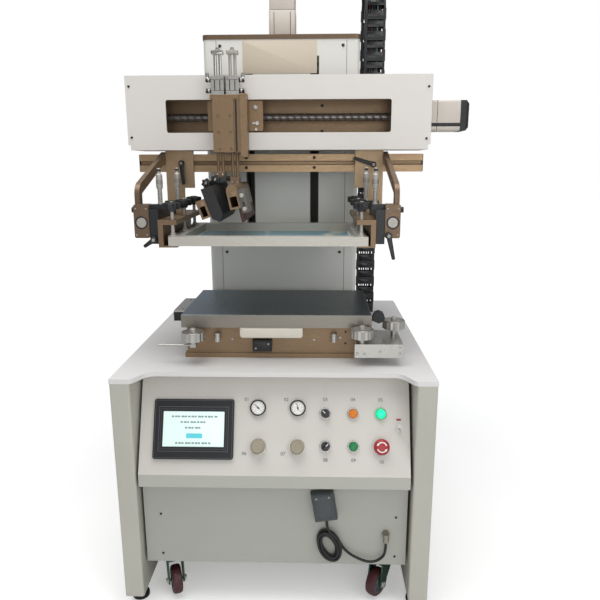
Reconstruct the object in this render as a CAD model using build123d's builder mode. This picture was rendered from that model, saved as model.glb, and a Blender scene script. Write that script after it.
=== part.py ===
from build123d import *
import os
from math import cos, hypot, pi, radians, sin, tan

os.makedirs("parts", exist_ok=True)

# Servo screen printing machine, in millimetres, +Z up, operator side towards -Y.
# The pieces are drawn with X = 0 in the middle of the cabinet, Y = 0 on the front
# faces of the legs and Z = 0 on the floor. The last step of each piece moves it so
# that the origin lies on the floor under the middle of the whole machine.

# Gap that moving pieces keep from others
moving_gap = 5.0

# Sides of the outlines that stand for repeated small rounds
small_round_sides = 20
tread_sides = 36
cable_sides = 12

# Cabinet
cabinet_width = 800.0
table_depth = 861.0
table_height = 650.0
table_thickness = 12.0
side_thickness = 50.0
leg_clearance = 38.0
front_edge_recess = 56.0
front_curve_width = 50.0
body_bottom = 125.0
body_side_gap = 7.0
body_back_inset = 6.0
lower_panel_recess = 30.0
rail_height = 38.0
panel_foot_height = 400.0
panel_setback = 2.5
panel_lean = 22.4
panel_sheet = 4.0
panel_body_gap = 2.0
leg_corner_radius = 6.0

# Feet and casters
foot_diameter = 45.0
foot_plate_height = 9.0
foot_stem_diameter = 12.0
foot_nut_height = 7.0
foot_inset = 55.0
wheel_diameter = 76.0
wheel_width = 26.0
wheel_floor_gap = 5.0
tread_chamfer = 4.0
axle_diameter = 8.0
axle_gap = 0.3
caster_trail = 20.0
caster_plate_size = 76.0
caster_plate_thickness = 8.0
caster_inset_y = 84.0
fork_wall = 4.0
fork_foot_radius = 12.0
fork_top_length = 44.0
swivel_gap = 1.0
swivel_height = 9.0
swivel_diameter = 34.0

# Control panel items, each at a place along the panel: X, and the height of its centre
screen_width = 204.0
screen_height = 150.0
screen_depth = 8.0
screen_corner = 6.0
display_width = 156.0
display_height = 88.0
display_recess = 1.5
screen_x = -205.0
screen_z = 501.5
gauge_diameter = 40.0
gauge_rim = 3.0
gauge_depth = 9.0
gauge_glass_recess = 1.5
gauge_x = (-41.8, 59.5)
gauge_z = 552.0
knob_x = (-40.0, 58.5)
knob_z = 463.0
knob_diameter = 38.0
knob_grip_depth = 14.0
knob_flutes = 18
knob_flute_depth = 1.2
knob_cap_taper = 4.0
knob_cap_diameter = 30.0
knob_cap_depth = 6.0
collar_thickness = 4.0
collar_rim = 1.0
turn_gap = 0.3
selector_x = 129.7
button_x = 200.0
lamp_x = 270.0
upper_row_z = 540.0
lower_row_z = 465.0
button_diameter = 22.0
stem_clearance = 0.5
bezel_diameter = 29.0
bezel_depth = 5.0
lamp_diameter = 27.0
lamp_depth = 10.0
lamp_ring_depth = 3.0
button_travel = 4.0
selector_handle_width = 8.0
selector_handle_depth = 9.0
selector_dial_depth = 5.0
stop_diameter = 40.0
stop_head_depth = 14.0
head_clearance = 1.0
stop_chamfer = 4.0
toggle_x = 315.0
toggle_z = 507.5
toggle_nut_width = 16.0
toggle_nut_depth = 3.0
toggle_bush_depth = 7.0
toggle_length = 17.0
toggle_throw = 30.0
toggle_ball = 8.0

# Foot switch hanging under the rail, and its cable
switch_width = 58.0
switch_height = 82.0
switch_depth = 24.0
switch_lid_depth = 7.0
switch_lid_taper = 30.0
switch_tilt = 9.0
switch_x = 127.5
switch_z = 304.0
cable_diameter = 7.0
cable_y = 19.0
coil_x = 140.5
coil_z = 187.5
coil_width = 66.0
coil_height = 101.0
coil_band = 20.0
coil_tilt = 22.0
coil_thickness = 19.0
gland_x = 289.0
gland_z = 218.0
gland_nut_width = 22.0
gland_nut_depth = 5.0
gland_body_diameter = 15.0
gland_bottom = 200.0

# Platen
platen_width = 500.0
platen_depth = 312.0
platen_thickness = 35.0
platen_front = 150.0
platen_top = 775.0
base_left = -242.0
base_right = 210.0
base_front = 179.0
base_back = 440.0
base_strip_height = 12.0
base_strip_step = 6.0

# Fittings on the platen's base
tab_left = -95.0
tab_right = 70.0
tab_sheet = 3.0
tab_corner = 8.0
tab_drop = 26.0
tab_reach = 34.0
limit_switch_x = -38.5
limit_switch_width = 51.0
limit_switch_depth = 18.0
limit_switch_bottom = 671.0
limit_switch_height = 31.0
plunger_x = (-158.0, 153.0)
plunger_z = 709.0
plunger_diameter = 16.0
plunger_length = 24.0
side_block_width = 40.0
side_block_front = 236.0
side_block_back = 391.0
side_block_bottom = 735.0
side_block_height = 25.0
side_plate_thickness = 4.0
corner_bracket_left = 204.0
corner_bracket_right = 328.0
corner_bracket_bottom = 674.0
corner_bracket_height = 36.0
corner_bracket_front = 105.0
corner_bracket_wall = 8.0
corner_shelf_depth = 135.0
stop_knob_x = 269.0
stop_knob_z = 768.0
stop_knob_back = 176.0
stop_knob_width = 32.0
stop_knob_depth = 22.0
stop_knob_inset = 4.0
dial_diameter = 60.0
dial_height = 22.0
dial_flutes = 16
dial_flute_depth = 1.5
dial_hub_diameter = 15.0
dial_stem = 10.0
dial_knob_height = 4.0
dial_arm_height = 9.0
left_dial_x = -213.0
left_dial_y = 118.0
left_dial_top = 738.0
front_dial_x = 223.0
front_dial_y = 118.0
front_dial_top = 747.0
rear_dial_x = 314.0
rear_dial_y = 200.0
rear_dial_top = 750.0
setting_rod_length = 92.0
setting_rod_diameter = 6.0

# Column
column_width = 462.0
column_front = 510.0
column_depth = 300.0
column_top = 1515.0
column_corner_radius = 14.0
top_plate_thickness = 13.0
top_plate_overhang = 2.0
slot_spacing = 196.0
slot_width = 24.0
slot_bottom = 974.0
slot_top = 1469.0
slot_pocket_depth = 110.0
lift_arm_thickness = 12.0
lift_arm_height = 120.0
lift_arm_reach = 90.0
motor_size = 80.0
motor_corner = 6.0
motor_step = 1.5
lift_motor_y = 608.0
gearbox_height = 80.0
lift_motor_height = 84.0
beam_motor_length = 82.0
motor_cap_length = 24.0
motor_cap_chamfer = 9.0

# Cable chain, one fixed loop up the right side of the column
chain_side_gap = 15.0
chain_width = 59.0
chain_height = 28.0
chain_bend = 75.0
chain_front_y = 545.0
chain_end_z = 1400.0
chain_top = 1600.0
chain_pitch = 57.0
chain_wall = 6.0
chain_bar = 12.0

# Print head
beam_width = 829.0
beam_front = 330.0
beam_depth = 140.0
beam_bottom = 1197.0
beam_height = 195.0
cover_sheet = 3.0
cover_notch = 6.0
cover_notch_height = 14.0
window_width = 612.0
window_bottom = 1243.0
window_top = 1329.0
window_corner = 6.0
spine_depth = 36.0
spine_groove = 20.0
spine_groove_depth = 10.0
screw_diameter = 20.0
screw_y = 390.0
screw_z = 1287.0
bearing_width = 56.0
bearing_length = 22.0
guide_size = 15.0
guide_spacing = 116.0
guide_end_gap = 4.0
rail_size = 50.0
rail_length = 816.0
rail_beam_gap = 10.0
rail_back_inset = 15.0
rail_slot = 12.0
rail_slot_depth = 14.0

# Carriage
plate_left = -193.0
plate_right = -42.0
plate_thickness = 12.0
plate_height = 80.0
plate_corner = 4.0
nut_width = 60.0
nut_height = 56.0
runner_length = 90.0
runner_height = 22.0
runner_gap = 0.5
cylinder_x = (-157.0, -117.5)
cylinder_width = 34.0
cylinder_height = 47.0
cylinder_depth = 34.0
valve_length = 15.0
valve_diameter = 10.0
valve_inset = 10.0
valve_rise = 18.0
rod_diameter = 8.0
rod_spread = 13.0
rod_hole_gap = 0.5
rod_y = 308.0
bracket_left = -171.0
bracket_front = 284.0
bracket_bottom = 1190.0
bracket_top = 1328.0
bracket_plate = 9.0
bracket_plate_width = 55.0
bracket_bar_left = -98.0
bracket_bar_right = -80.0
bracket_bar_bottom = 1178.0
bracket_bar_top = 1340.0
bracket_cap = 10.0
bracket_cap_left = -178.0
yoke_width = 30.0
yoke_depth = 24.0
yoke_height = 8.0
yoke_screw = 8.0
yoke_clearance = 55.0

# Squeegee and flood bar, each drawn about its blade's tip
print_length = 270.0
print_front = 150.0
squeegee_tilt = 20.0
squeegee_tip_x = -140.0
flood_tilt = 12.0
flood_tip_x = -80.0
blade_tip_z = 1016.0
squeegee_blade_width = 30.0
squeegee_blade_length = 92.0
squeegee_tube_width = 24.0
squeegee_tube_height = 48.0
squeegee_tube_rise = 20.0
squeegee_bar_height = 13.0
clamp_bar_length = 90.0
star_knob_diameter = 24.0
star_knob_depth = 12.0
star_lobes = 6
star_lobe_depth = 2.5
squeegee_bar_left = -26.0
squeegee_bar_right = 38.0
tube_wall = 5.0
flood_blade_width = 7.0
flood_tube_width = 28.0
flood_tube_height = 48.0
flood_tube_rise = 36.0
flood_crown_step = 1.0
flood_plate_width = 18.0
flood_plate_height = 58.0
flood_plate_rise = 22.0
flood_plate_length = 60.0
head_block_depth = 36.0
head_block_width = 24.0
squeegee_head_z = 1140.0
squeegee_head_height = 30.0
flood_head_z = 1124.0
flood_head_height = 26.0
blade_end_inset = 4.0

# Screen frame
screen_frame_x = -14.0
screen_frame_width = 492.0
screen_frame_front = 100.0
screen_frame_depth = 370.0
screen_frame_height = 23.0
screen_frame_bottom = 962.0
screen_frame_bar = 30.0
mesh_thickness = 1.6

# Screen holders, measured outwards from the middle line between them
holder_x = -17.5
channel_front = 104.0
channel_back = 440.0
channel_inner = 221.5
channel_web_inner = 255.5
channel_web = 12.0
channel_flange = 12.0
channel_lip = 4.0
channel_top = 1026.0
hanger_thickness = 10.0
hanger_inner = 232.5
hanger_outer = 312.5
hanger_step_z = 1092.0
hanger_foot_inner = 262.0
hanger_foot_bottom = 1000.0
hanger_side_gap = 2.0
brace_width = 26.0
brace_thickness = 12.0
brace_top_z = 1181.0
brace_knee_z = 1098.0
brace_foot_y = 130.0
brace_bend_radius = 20.0
end_block_inner = 290.0
end_block_outer = 327.0
end_block_front = 108.0
end_block_depth = 42.0
end_block_bottom = 981.0
end_block_top = 1063.0
end_block_chamfer = 3.0
shaft_diameter = 25.0
shaft_z = 1019.0
shaft_ring_width = 3.0
shaft_ring_depth = 2.0
side_screw_diameter = 14.0
side_screw_length = 9.0
slide_front = 112.0
slide_bottom = 966.0
slide_top = 1050.0
slide_length = 190.0
bridge_thickness = 12.0
bridge_depth = 26.0
micrometer_y = (140.0, 285.0)
micrometer_reach = (267.0, 256.0)
micrometer_sleeve = 11.0
micrometer_sleeve_length = 36.0
micrometer_thimble = 16.0
micrometer_thimble_length = 36.0
micrometer_tip = 9.0
micrometer_tip_length = 16.0
clamp_reach = 232.5
clamp_y = (112.0, 245.0, 378.0)
clamp_screw_diameter = 9.0
clamp_hole_gap = 0.5
clamp_disc_diameter = 24.0
clamp_disc_height = 3.0
clamp_knob_diameter = 46.0
clamp_knob_bottom = 1046.0
clamp_knob_height = 22.0
clamp_knob_lobes = 7
clamp_lobe_depth = 4.0
lever_length = 60.0
short_lever_length = 30.0
lever_hub_diameter = 16.0
lever_tip_diameter = 9.0
lever_thickness = 8.0
lever_stand_off = 6.0

# Sizes that follow from those above
half_width = cabinet_width / 2
leg_inner = half_width - side_thickness
body_x = leg_inner - body_side_gap
table_bottom = table_height - table_thickness
rail_bottom = panel_foot_height - rail_height
panel_slope = tan(radians(panel_lean))
column_back = column_front + column_depth
beam_back = beam_front + beam_depth
beam_top = beam_bottom + beam_height
spine_front = beam_back - spine_depth
rail_top = beam_bottom - rail_beam_gap
rail_back = beam_back - rail_back_inset
rail_front = rail_back - rail_size
motor_end = beam_width / 2 + beam_motor_length + motor_cap_length
shift_x = -(motor_end - beam_width / 2) / 2
shift_y = -table_depth / 2

pieces = {}


def keep(builder, name):
    """Move one finished piece into the machine's own frame, label it and write it."""
    part = builder.part.moved(Location((shift_x, shift_y, 0)))
    part.label = name
    pieces[name] = part
    export_step(part, f"parts/{name}.step")


def block(x0, x1, y0, y1, z0, z1, mode=Mode.ADD):
    """Add a box given by its six outer planes to the active part."""
    with Locations(((x0 + x1) / 2, (y0 + y1) / 2, (z0 + z1) / 2)):
        Box(abs(x1 - x0), abs(y1 - y0), abs(z1 - z0), mode=mode)


def rod(x, y, z0, z1, diameter, mode=Mode.ADD):
    """Add an upright bar between two heights to the active part, round but for its sides."""
    with BuildSketch(Plane.XY.offset(z0)) as section:
        with Locations((x, y)):
            RegularPolygon(diameter / 2, small_round_sides)
    extrude(section.sketch, amount=z1 - z0, mode=mode)


def crossbar(x0, x1, y, z, diameter, mode=Mode.ADD):
    """Add a bar along X to the active part, round but for its sides."""
    with BuildSketch(Plane.YZ.offset(x0)) as section:
        with Locations((y, z)):
            RegularPolygon(diameter / 2, small_round_sides)
    extrude(section.sketch, amount=x1 - x0, mode=mode)


def panel_y(z):
    """Y of the slanted panel's outer face at height z."""
    return panel_setback + (z - panel_foot_height) * panel_slope


def panel_plane(x, z):
    """Plane on the slanted panel's outer face, its normal pointing at the operator."""
    normal = (0, -cos(radians(panel_lean)), sin(radians(panel_lean)))
    return Plane(origin=(x, panel_y(z), z), x_dir=(1, 0, 0), z_dir=normal)


def fluted_outline(diameter, flutes, depth):
    """Corner points of a round grip whose rim steps in and out for each flute."""
    step = pi / flutes
    radii = (diameter / 2, diameter / 2 - depth)
    return [
        (radii[i % 2] * cos(i * step), radii[i % 2] * sin(i * step))
        for i in range(2 * flutes)
    ]


def tip_plane(x, tilt):
    """Plane across the print length at its front, at a blade's tip, leaning left."""
    lean = radians(tilt)
    return Plane(
        origin=(x, print_front, blade_tip_z),
        x_dir=(cos(lean), 0, sin(lean)),
        z_dir=(0, -1, 0),
    )


# Casters: a wheel swings inside a circle that stays clear of the side panels
caster_sweep = hypot(caster_trail + wheel_diameter / 2, wheel_width / 2)
caster_x = leg_inner - caster_sweep - moving_gap
caster_places = (
    ("front_left", -caster_x, caster_inset_y, 22),
    ("front_right", caster_x, caster_inset_y, -40),
    ("rear_left", -caster_x, table_depth - caster_inset_y, 12),
    ("rear_right", caster_x, table_depth - caster_inset_y, -15),
)
caster_plate_z = body_bottom - caster_plate_thickness
wheel_z = wheel_floor_gap + wheel_diameter / 2
fork_top = caster_plate_z - swivel_height - swivel_gap
fork_inner = wheel_width / 2 + moving_gap

# Cabinet housing: closed body between the two side panels, with the casters' plates
with BuildPart() as cabinet_body:
    with BuildSketch(Plane.YZ.offset(-body_x)):
        with BuildLine():
            body_offset = panel_sheet + panel_body_gap
            Polyline(
                (lower_panel_recess, body_bottom),
                (lower_panel_recess, panel_foot_height),
                (panel_y(panel_foot_height) + body_offset, panel_foot_height),
                (panel_y(table_bottom) + body_offset, table_bottom),
                (table_depth - body_back_inset, table_bottom),
                (table_depth - body_back_inset, body_bottom),
                close=True,
            )
        make_face()
    extrude(amount=2 * body_x)
    for _, x, y, _ in caster_places:
        half_plate = caster_plate_size / 2
        block(
            x - half_plate,
            x + half_plate,
            y - half_plate,
            y + half_plate,
            caster_plate_z,
            body_bottom,
        )
        with Locations((x, y, caster_plate_z)):
            Cylinder(
                swivel_diameter / 2,
                swivel_height,
                align=(Align.CENTER, Align.CENTER, Align.MAX),
            )
keep(cabinet_body, "cabinet_body")

# Side panels: closed box panels that are also the legs
with BuildPart() as side_panels:
    for side in (-1, 1):
        block(side * half_width, side * leg_inner, 0, table_depth, leg_clearance, table_bottom)
    fillet(
        side_panels.edges().filter_by(Axis.Z).group_by(Axis.Y)[0],
        radius=leg_corner_radius,
    )
keep(side_panels, "side_panels")

# Table top: one sheet whose front edge runs back in two S curves between the legs
with BuildPart() as table_top:
    with BuildSketch(Plane.XY.offset(table_bottom)):
        with BuildLine():
            curve_end = leg_inner - front_curve_width
            Line((-half_width, 0), (-leg_inner, 0))
            Spline(
                (-leg_inner, 0),
                (-curve_end, front_edge_recess),
                tangents=((1, 0.8), (1, 0.1)),
            )
            Line((-curve_end, front_edge_recess), (curve_end, front_edge_recess))
            Spline(
                (curve_end, front_edge_recess),
                (leg_inner, 0),
                tangents=((1, -0.1), (1, -0.8)),
            )
            Line((leg_inner, 0), (half_width, 0))
            Line((half_width, 0), (half_width, table_depth))
            Line((half_width, table_depth), (-half_width, table_depth))
            Line((-half_width, table_depth), (-half_width, 0))
        make_face()
    extrude(amount=table_thickness)
keep(table_top, "table_top")

# Control panel: one folded sheet, slanted above and turned back under its rail
push_places = ((button_x, upper_row_z), (button_x, lower_row_z), (lamp_x, lower_row_z))
with BuildPart() as control_panel:
    with BuildSketch(Plane.YZ.offset(-body_x)):
        with BuildLine():
            Polyline(
                (panel_y(table_bottom), table_bottom),
                (panel_y(panel_foot_height), panel_foot_height),
                (0, panel_foot_height - panel_sheet),
                (0, rail_bottom),
                (lower_panel_recess, rail_bottom),
                (lower_panel_recess, rail_bottom + panel_sheet),
                (panel_sheet, rail_bottom + panel_sheet),
                (panel_sheet, panel_foot_height - panel_sheet),
                (panel_y(panel_foot_height) + panel_sheet, panel_foot_height),
                (panel_y(table_bottom) + panel_sheet, table_bottom),
                close=True,
            )
        make_face()
    extrude(amount=2 * body_x)
    for x, z in push_places:
        with BuildSketch(panel_plane(x, z)):
            Circle(button_diameter / 2 + stem_clearance)
        extrude(amount=-2 * panel_sheet, mode=Mode.SUBTRACT)
keep(control_panel, "control_panel")

# Touch screen: moulded frame with a recessed display
with BuildPart() as touch_screen:
    with BuildSketch(panel_plane(screen_x, screen_z)):
        RectangleRounded(screen_width, screen_height, screen_corner)
    extrude(amount=screen_depth)
    with BuildSketch(panel_plane(screen_x, screen_z).offset(screen_depth)):
        Rectangle(display_width, display_height)
    extrude(amount=-display_recess, mode=Mode.SUBTRACT)
keep(touch_screen, "touch_screen")

# Pressure gauges: round cases with a raised rim round the dial
with BuildPart() as pressure_gauges:
    for x in gauge_x:
        with BuildSketch(panel_plane(x, gauge_z)):
            Circle(gauge_diameter / 2)
        extrude(amount=gauge_depth)
        with BuildSketch(panel_plane(x, gauge_z).offset(gauge_depth)):
            Circle(gauge_diameter / 2 - gauge_rim)
        extrude(amount=-gauge_glass_recess, mode=Mode.SUBTRACT)
keep(pressure_gauges, "pressure_gauges")

# Fixed fittings of the panel: bezels, regulator collars and the toggle's nut and bush
with BuildPart() as panel_bezels:
    for z in (upper_row_z, lower_row_z):
        with BuildSketch(panel_plane(selector_x, z)):
            RegularPolygon(bezel_diameter / 2, tread_sides)
        extrude(amount=bezel_depth)
    for x, z in push_places:
        with BuildSketch(panel_plane(x, z)):
            Circle(bezel_diameter / 2)
            Circle(button_diameter / 2 + stem_clearance, mode=Mode.SUBTRACT)
        extrude(amount=bezel_depth)
    for x in knob_x:
        with BuildSketch(panel_plane(x, knob_z)):
            Circle(knob_diameter / 2 + collar_rim)
        extrude(amount=collar_thickness)
    with BuildSketch(panel_plane(toggle_x, toggle_z)):
        RegularPolygon(toggle_nut_width / 2, 6)
    extrude(amount=toggle_nut_depth)
    with BuildSketch(panel_plane(toggle_x, toggle_z)):
        Circle(toggle_nut_width / 3)
    extrude(amount=toggle_bush_depth)
keep(panel_bezels, "panel_bezels")

# Power lamp: lens in its own bezel
with BuildPart() as power_lamp:
    with BuildSketch(panel_plane(lamp_x, upper_row_z)):
        Circle(bezel_diameter / 2)
    extrude(amount=lamp_ring_depth)
    with BuildSketch(panel_plane(lamp_x, upper_row_z)):
        Circle(lamp_diameter / 2)
    extrude(amount=lamp_depth)
keep(power_lamp, "power_lamp")

# Selector knobs that turn on their bezels, each with a raised bar for its handle
for name, z, turn in (
    ("upper_selector", upper_row_z, 45),
    ("lower_selector", lower_row_z, -45),
):
    dial_face = panel_plane(selector_x, z).offset(bezel_depth + turn_gap)
    with BuildPart() as selector:
        with BuildSketch(dial_face):
            Circle(button_diameter / 2)
        extrude(amount=selector_dial_depth)
        with BuildSketch(dial_face.offset(selector_dial_depth)):
            Rectangle(
                selector_handle_width,
                button_diameter - 2,
                rotation=turn,
            )
        extrude(amount=selector_handle_depth)
    keep(selector, name)

# Push buttons that slide in their bezels
for name, z in (("orange_button", upper_row_z), ("start_button", lower_row_z)):
    with BuildPart() as push_button:
        with BuildSketch(panel_plane(button_x, z)):
            Circle(button_diameter / 2)
        extrude(amount=bezel_depth + button_travel)
    keep(push_button, name)

# Emergency stop: stem in the bezel and a wide mushroom head
with BuildPart() as emergency_stop:
    stop_face = panel_plane(lamp_x, lower_row_z)
    stop_head_start = bezel_depth + button_travel + head_clearance
    with BuildSketch(stop_face):
        RegularPolygon(button_diameter / 2, small_round_sides)
    extrude(amount=stop_head_start)
    with BuildSketch(stop_face.offset(stop_head_start)):
        Circle(stop_diameter / 2)
    extrude(amount=stop_head_depth)
    chamfer(emergency_stop.faces().sort_by(Axis.Y)[0].edges(), stop_chamfer)
keep(emergency_stop, "emergency_stop")

# Toggle lever in its bush
toggle_face = panel_plane(toggle_x, toggle_z).offset(
    toggle_bush_depth + toggle_ball / 2 + turn_gap
)
with BuildPart() as toggle_lever:
    with Locations(Location(toggle_face)):
        Cylinder(toggle_ball / 2, toggle_ball, rotation=(0, 90, 0))
        Cylinder(
            toggle_ball / 3,
            toggle_length,
            rotation=(toggle_throw / 2, 0, 0),
            align=(Align.CENTER, Align.CENTER, Align.MIN),
        )
keep(toggle_lever, "toggle_lever")

# Regulator knobs in front of their collars: fluted grip and a smaller round cap
for name, x in zip(("left_regulator_knob", "right_regulator_knob"), knob_x):
    grip_face = panel_plane(x, knob_z).offset(collar_thickness + turn_gap)
    with BuildPart() as knob:
        with BuildSketch(grip_face):
            Polygon(*fluted_outline(knob_diameter, knob_flutes, knob_flute_depth), align=None)
        extrude(amount=knob_grip_depth)
        with BuildSketch(grip_face.offset(knob_grip_depth)):
            Circle(knob_cap_diameter / 2)
        extrude(amount=knob_cap_depth, taper=knob_cap_taper)
    keep(knob, name)

# Levelling feet under the corners of the side panels, each with its lock nut
foot_x = half_width - side_thickness / 2
foot_places = [
    (x, y) for x in (-foot_x, foot_x) for y in (foot_inset, table_depth - foot_inset)
]
with BuildPart() as levelling_feet:
    for x, y in foot_places:
        with Locations((x, y, 0)):
            Cylinder(
                foot_diameter / 2,
                foot_plate_height,
                align=(Align.CENTER, Align.CENTER, Align.MIN),
            )
        with BuildSketch(Plane.XY.offset(foot_plate_height)):
            with Locations((x, y)):
                RegularPolygon(foot_stem_diameter / 2, 12)
        extrude(amount=leg_clearance - foot_plate_height)
        with BuildSketch(Plane.XY.offset(leg_clearance - foot_nut_height)):
            with Locations((x, y)):
                RegularPolygon(foot_stem_diameter, 6)
        extrude(amount=foot_nut_height)
keep(levelling_feet, "levelling_feet")


def across_caster(x, y, turn, offset):
    """Upright plane across a turned caster's axle, at its offset from the wheel's middle."""
    angle = radians(turn)
    return Plane(
        origin=(x + offset * cos(angle), y + offset * sin(angle), 0),
        x_dir=(-sin(angle), cos(angle), 0),
        z_dir=(cos(angle), sin(angle), 0),
    )


# Casters: a fork of two tapering side plates turns under its plate and holds a wheel
for name, x, y, turn in caster_places:
    swivel = Location((x, y, 0), (0, 0, turn))
    with BuildPart() as caster_fork:
        with Locations(swivel):
            with Locations((0, 0, fork_top - fork_wall)):
                Cylinder(
                    swivel_diameter / 2,
                    fork_wall,
                    align=(Align.CENTER, Align.CENTER, Align.MIN),
                )
                Box(
                    2 * (fork_inner + fork_wall),
                    fork_top_length,
                    fork_wall,
                    align=(Align.CENTER, Align.CENTER, Align.MAX),
                )
        for hand in (-1, 1):
            side_plane = across_caster(x, y, turn, hand * fork_inner)
            with BuildSketch(side_plane):
                with BuildLine():
                    Polyline(
                        (-fork_top_length / 2, fork_top - fork_wall),
                        (fork_top_length / 2, fork_top - fork_wall),
                        (fork_top_length / 2, fork_top - 3 * fork_wall),
                        (fork_foot_radius - caster_trail, wheel_z),
                        (-fork_foot_radius - caster_trail, wheel_z),
                        close=True,
                    )
                make_face()
                with Locations((-caster_trail, wheel_z)):
                    RegularPolygon(fork_foot_radius, small_round_sides)
            extrude(amount=hand * fork_wall)
            with BuildSketch(side_plane):
                with Locations((-caster_trail, wheel_z)):
                    RegularPolygon(axle_diameter / 2, small_round_sides)
            extrude(amount=-hand * fork_inner)
    keep(caster_fork, f"{name}_caster_fork")
    with BuildPart() as caster_wheel:
        rim_plane = across_caster(x, y, turn, -wheel_width / 2)
        with BuildSketch(rim_plane):
            with Locations((-caster_trail, wheel_z)):
                RegularPolygon(wheel_diameter / 2, tread_sides)
        extrude(amount=wheel_width)
        rim_faces = caster_wheel.faces().sort_by(SortBy.AREA)[-2:]
        chamfer(rim_faces.edges(), tread_chamfer)
        with BuildSketch(rim_plane):
            with Locations((-caster_trail, wheel_z)):
                Circle(axle_diameter / 2 + axle_gap)
        extrude(amount=wheel_width, mode=Mode.SUBTRACT)
    keep(caster_wheel, f"{name}_caster_wheel")

# Foot switch: a box with a raised lid, held flat against the lower front at a slant
switch_lean = radians(switch_tilt)
switch_plane = Plane(
    origin=(switch_x, lower_panel_recess, switch_z),
    x_dir=(cos(switch_lean), 0, sin(switch_lean)),
    z_dir=(0, -1, 0),
)
with BuildPart() as foot_switch:
    with BuildSketch(switch_plane):
        Rectangle(switch_width, switch_height)
    extrude(amount=switch_depth - switch_lid_depth)
    with BuildSketch(switch_plane.offset(switch_depth - switch_lid_depth)):
        Rectangle(switch_width, switch_height)
    extrude(amount=switch_lid_depth, taper=switch_lid_taper)
keep(foot_switch, "foot_switch")

# Spare cable wound into an upright oval coil
with BuildPart() as cable_coil:
    with BuildSketch(Plane.XZ.offset(-cable_y - coil_thickness / 2)):
        with Locations((coil_x, coil_z)):
            Ellipse(coil_width / 2, coil_height / 2, rotation=coil_tilt)
            Ellipse(
                coil_width / 2 - coil_band,
                coil_height / 2 - coil_band,
                rotation=coil_tilt,
                mode=Mode.SUBTRACT,
            )
    extrude(amount=coil_thickness)
keep(cable_coil, "cable_coil")

# Cable gland: nut on the lower front and a body that turns the cable downwards
with BuildPart() as cable_gland:
    with BuildSketch(Plane.XZ.offset(-lower_panel_recess)):
        with Locations((gland_x, gland_z)):
            RegularPolygon(gland_nut_width / 2, 6)
    extrude(amount=gland_nut_depth)
    block(
        gland_x - gland_body_diameter / 4,
        gland_x + gland_body_diameter / 4,
        cable_y,
        lower_panel_recess - gland_nut_depth,
        gland_z - gland_body_diameter / 4,
        gland_z + gland_body_diameter / 4,
    )
    rod(gland_x, cable_y, gland_bottom, gland_z + gland_body_diameter / 3, gland_body_diameter)
keep(cable_gland, "cable_gland")

# Cable, X and Z of its route in front of the lower panel: from the switch into the
# coil, and from the coil down and up again into the gland
switch_exit = (
    switch_x + switch_height / 2 * sin(switch_lean),
    switch_z - switch_height / 2 * cos(switch_lean),
)
coil_entry = (134.8, 235.0)
cable_route = (
    (170.0, 200.0),
    (203.0, 162.0),
    (239.5, 141.0),
    (260.5, 141.0),
    (278.6, 151.4),
    (289.0, 169.5),
    (gland_x, gland_bottom),
)


def bend_radii(points):
    """Largest tangent radius at each inner point, from its two runs and its turn."""
    radii = []
    for before, here, after in zip(points, points[1:], points[2:]):
        run_in = Vector(here[0] - before[0], here[1] - before[1])
        run_out = Vector(after[0] - here[0], after[1] - here[1])
        half_turn = radians(run_in.get_angle(run_out)) / 2
        radii.append(0.45 * min(run_in.length, run_out.length) / tan(half_turn))
    return radii


cable_radii = bend_radii(cable_route)
print("cable bend radii", [round(radius, 1) for radius in cable_radii])
cable_plane = Plane.XZ.offset(-cable_y)
with BuildPart() as foot_switch_cable:
    with BuildLine(cable_plane) as short_run:
        Line(switch_exit, coil_entry)
    with BuildSketch(Plane(short_run.line @ 0, z_dir=short_run.line % 0)):
        RegularPolygon(cable_diameter / 2, cable_sides)
    sweep(path=short_run.line)
    with BuildLine(cable_plane) as long_run:
        FilletPolyline(*cable_route, radius=cable_radii)
    with BuildSketch(Plane(long_run.line @ 0, z_dir=long_run.line % 0)):
        RegularPolygon(cable_diameter / 2, cable_sides)
    sweep(path=long_run.line)
keep(foot_switch_cable, "foot_switch_cable")

# Platen: base box with a wider foot strip, and the print table on it
platen_bottom = platen_top - platen_thickness
with BuildPart() as platen_base:
    block(base_left, base_right, base_front, base_back, table_height, platen_bottom)
    block(
        base_left - base_strip_step,
        base_right + base_strip_step,
        base_front - base_strip_step,
        base_back + base_strip_step,
        table_height,
        table_height + base_strip_height,
    )
keep(platen_base, "platen_base")
with BuildPart() as platen:
    block(
        -platen_width / 2,
        platen_width / 2,
        platen_front,
        platen_front + platen_depth,
        platen_bottom,
        platen_top,
    )
    chamfer(platen.edges().group_by(Axis.Z)[-1], length=1)
keep(platen, "platen")

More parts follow.
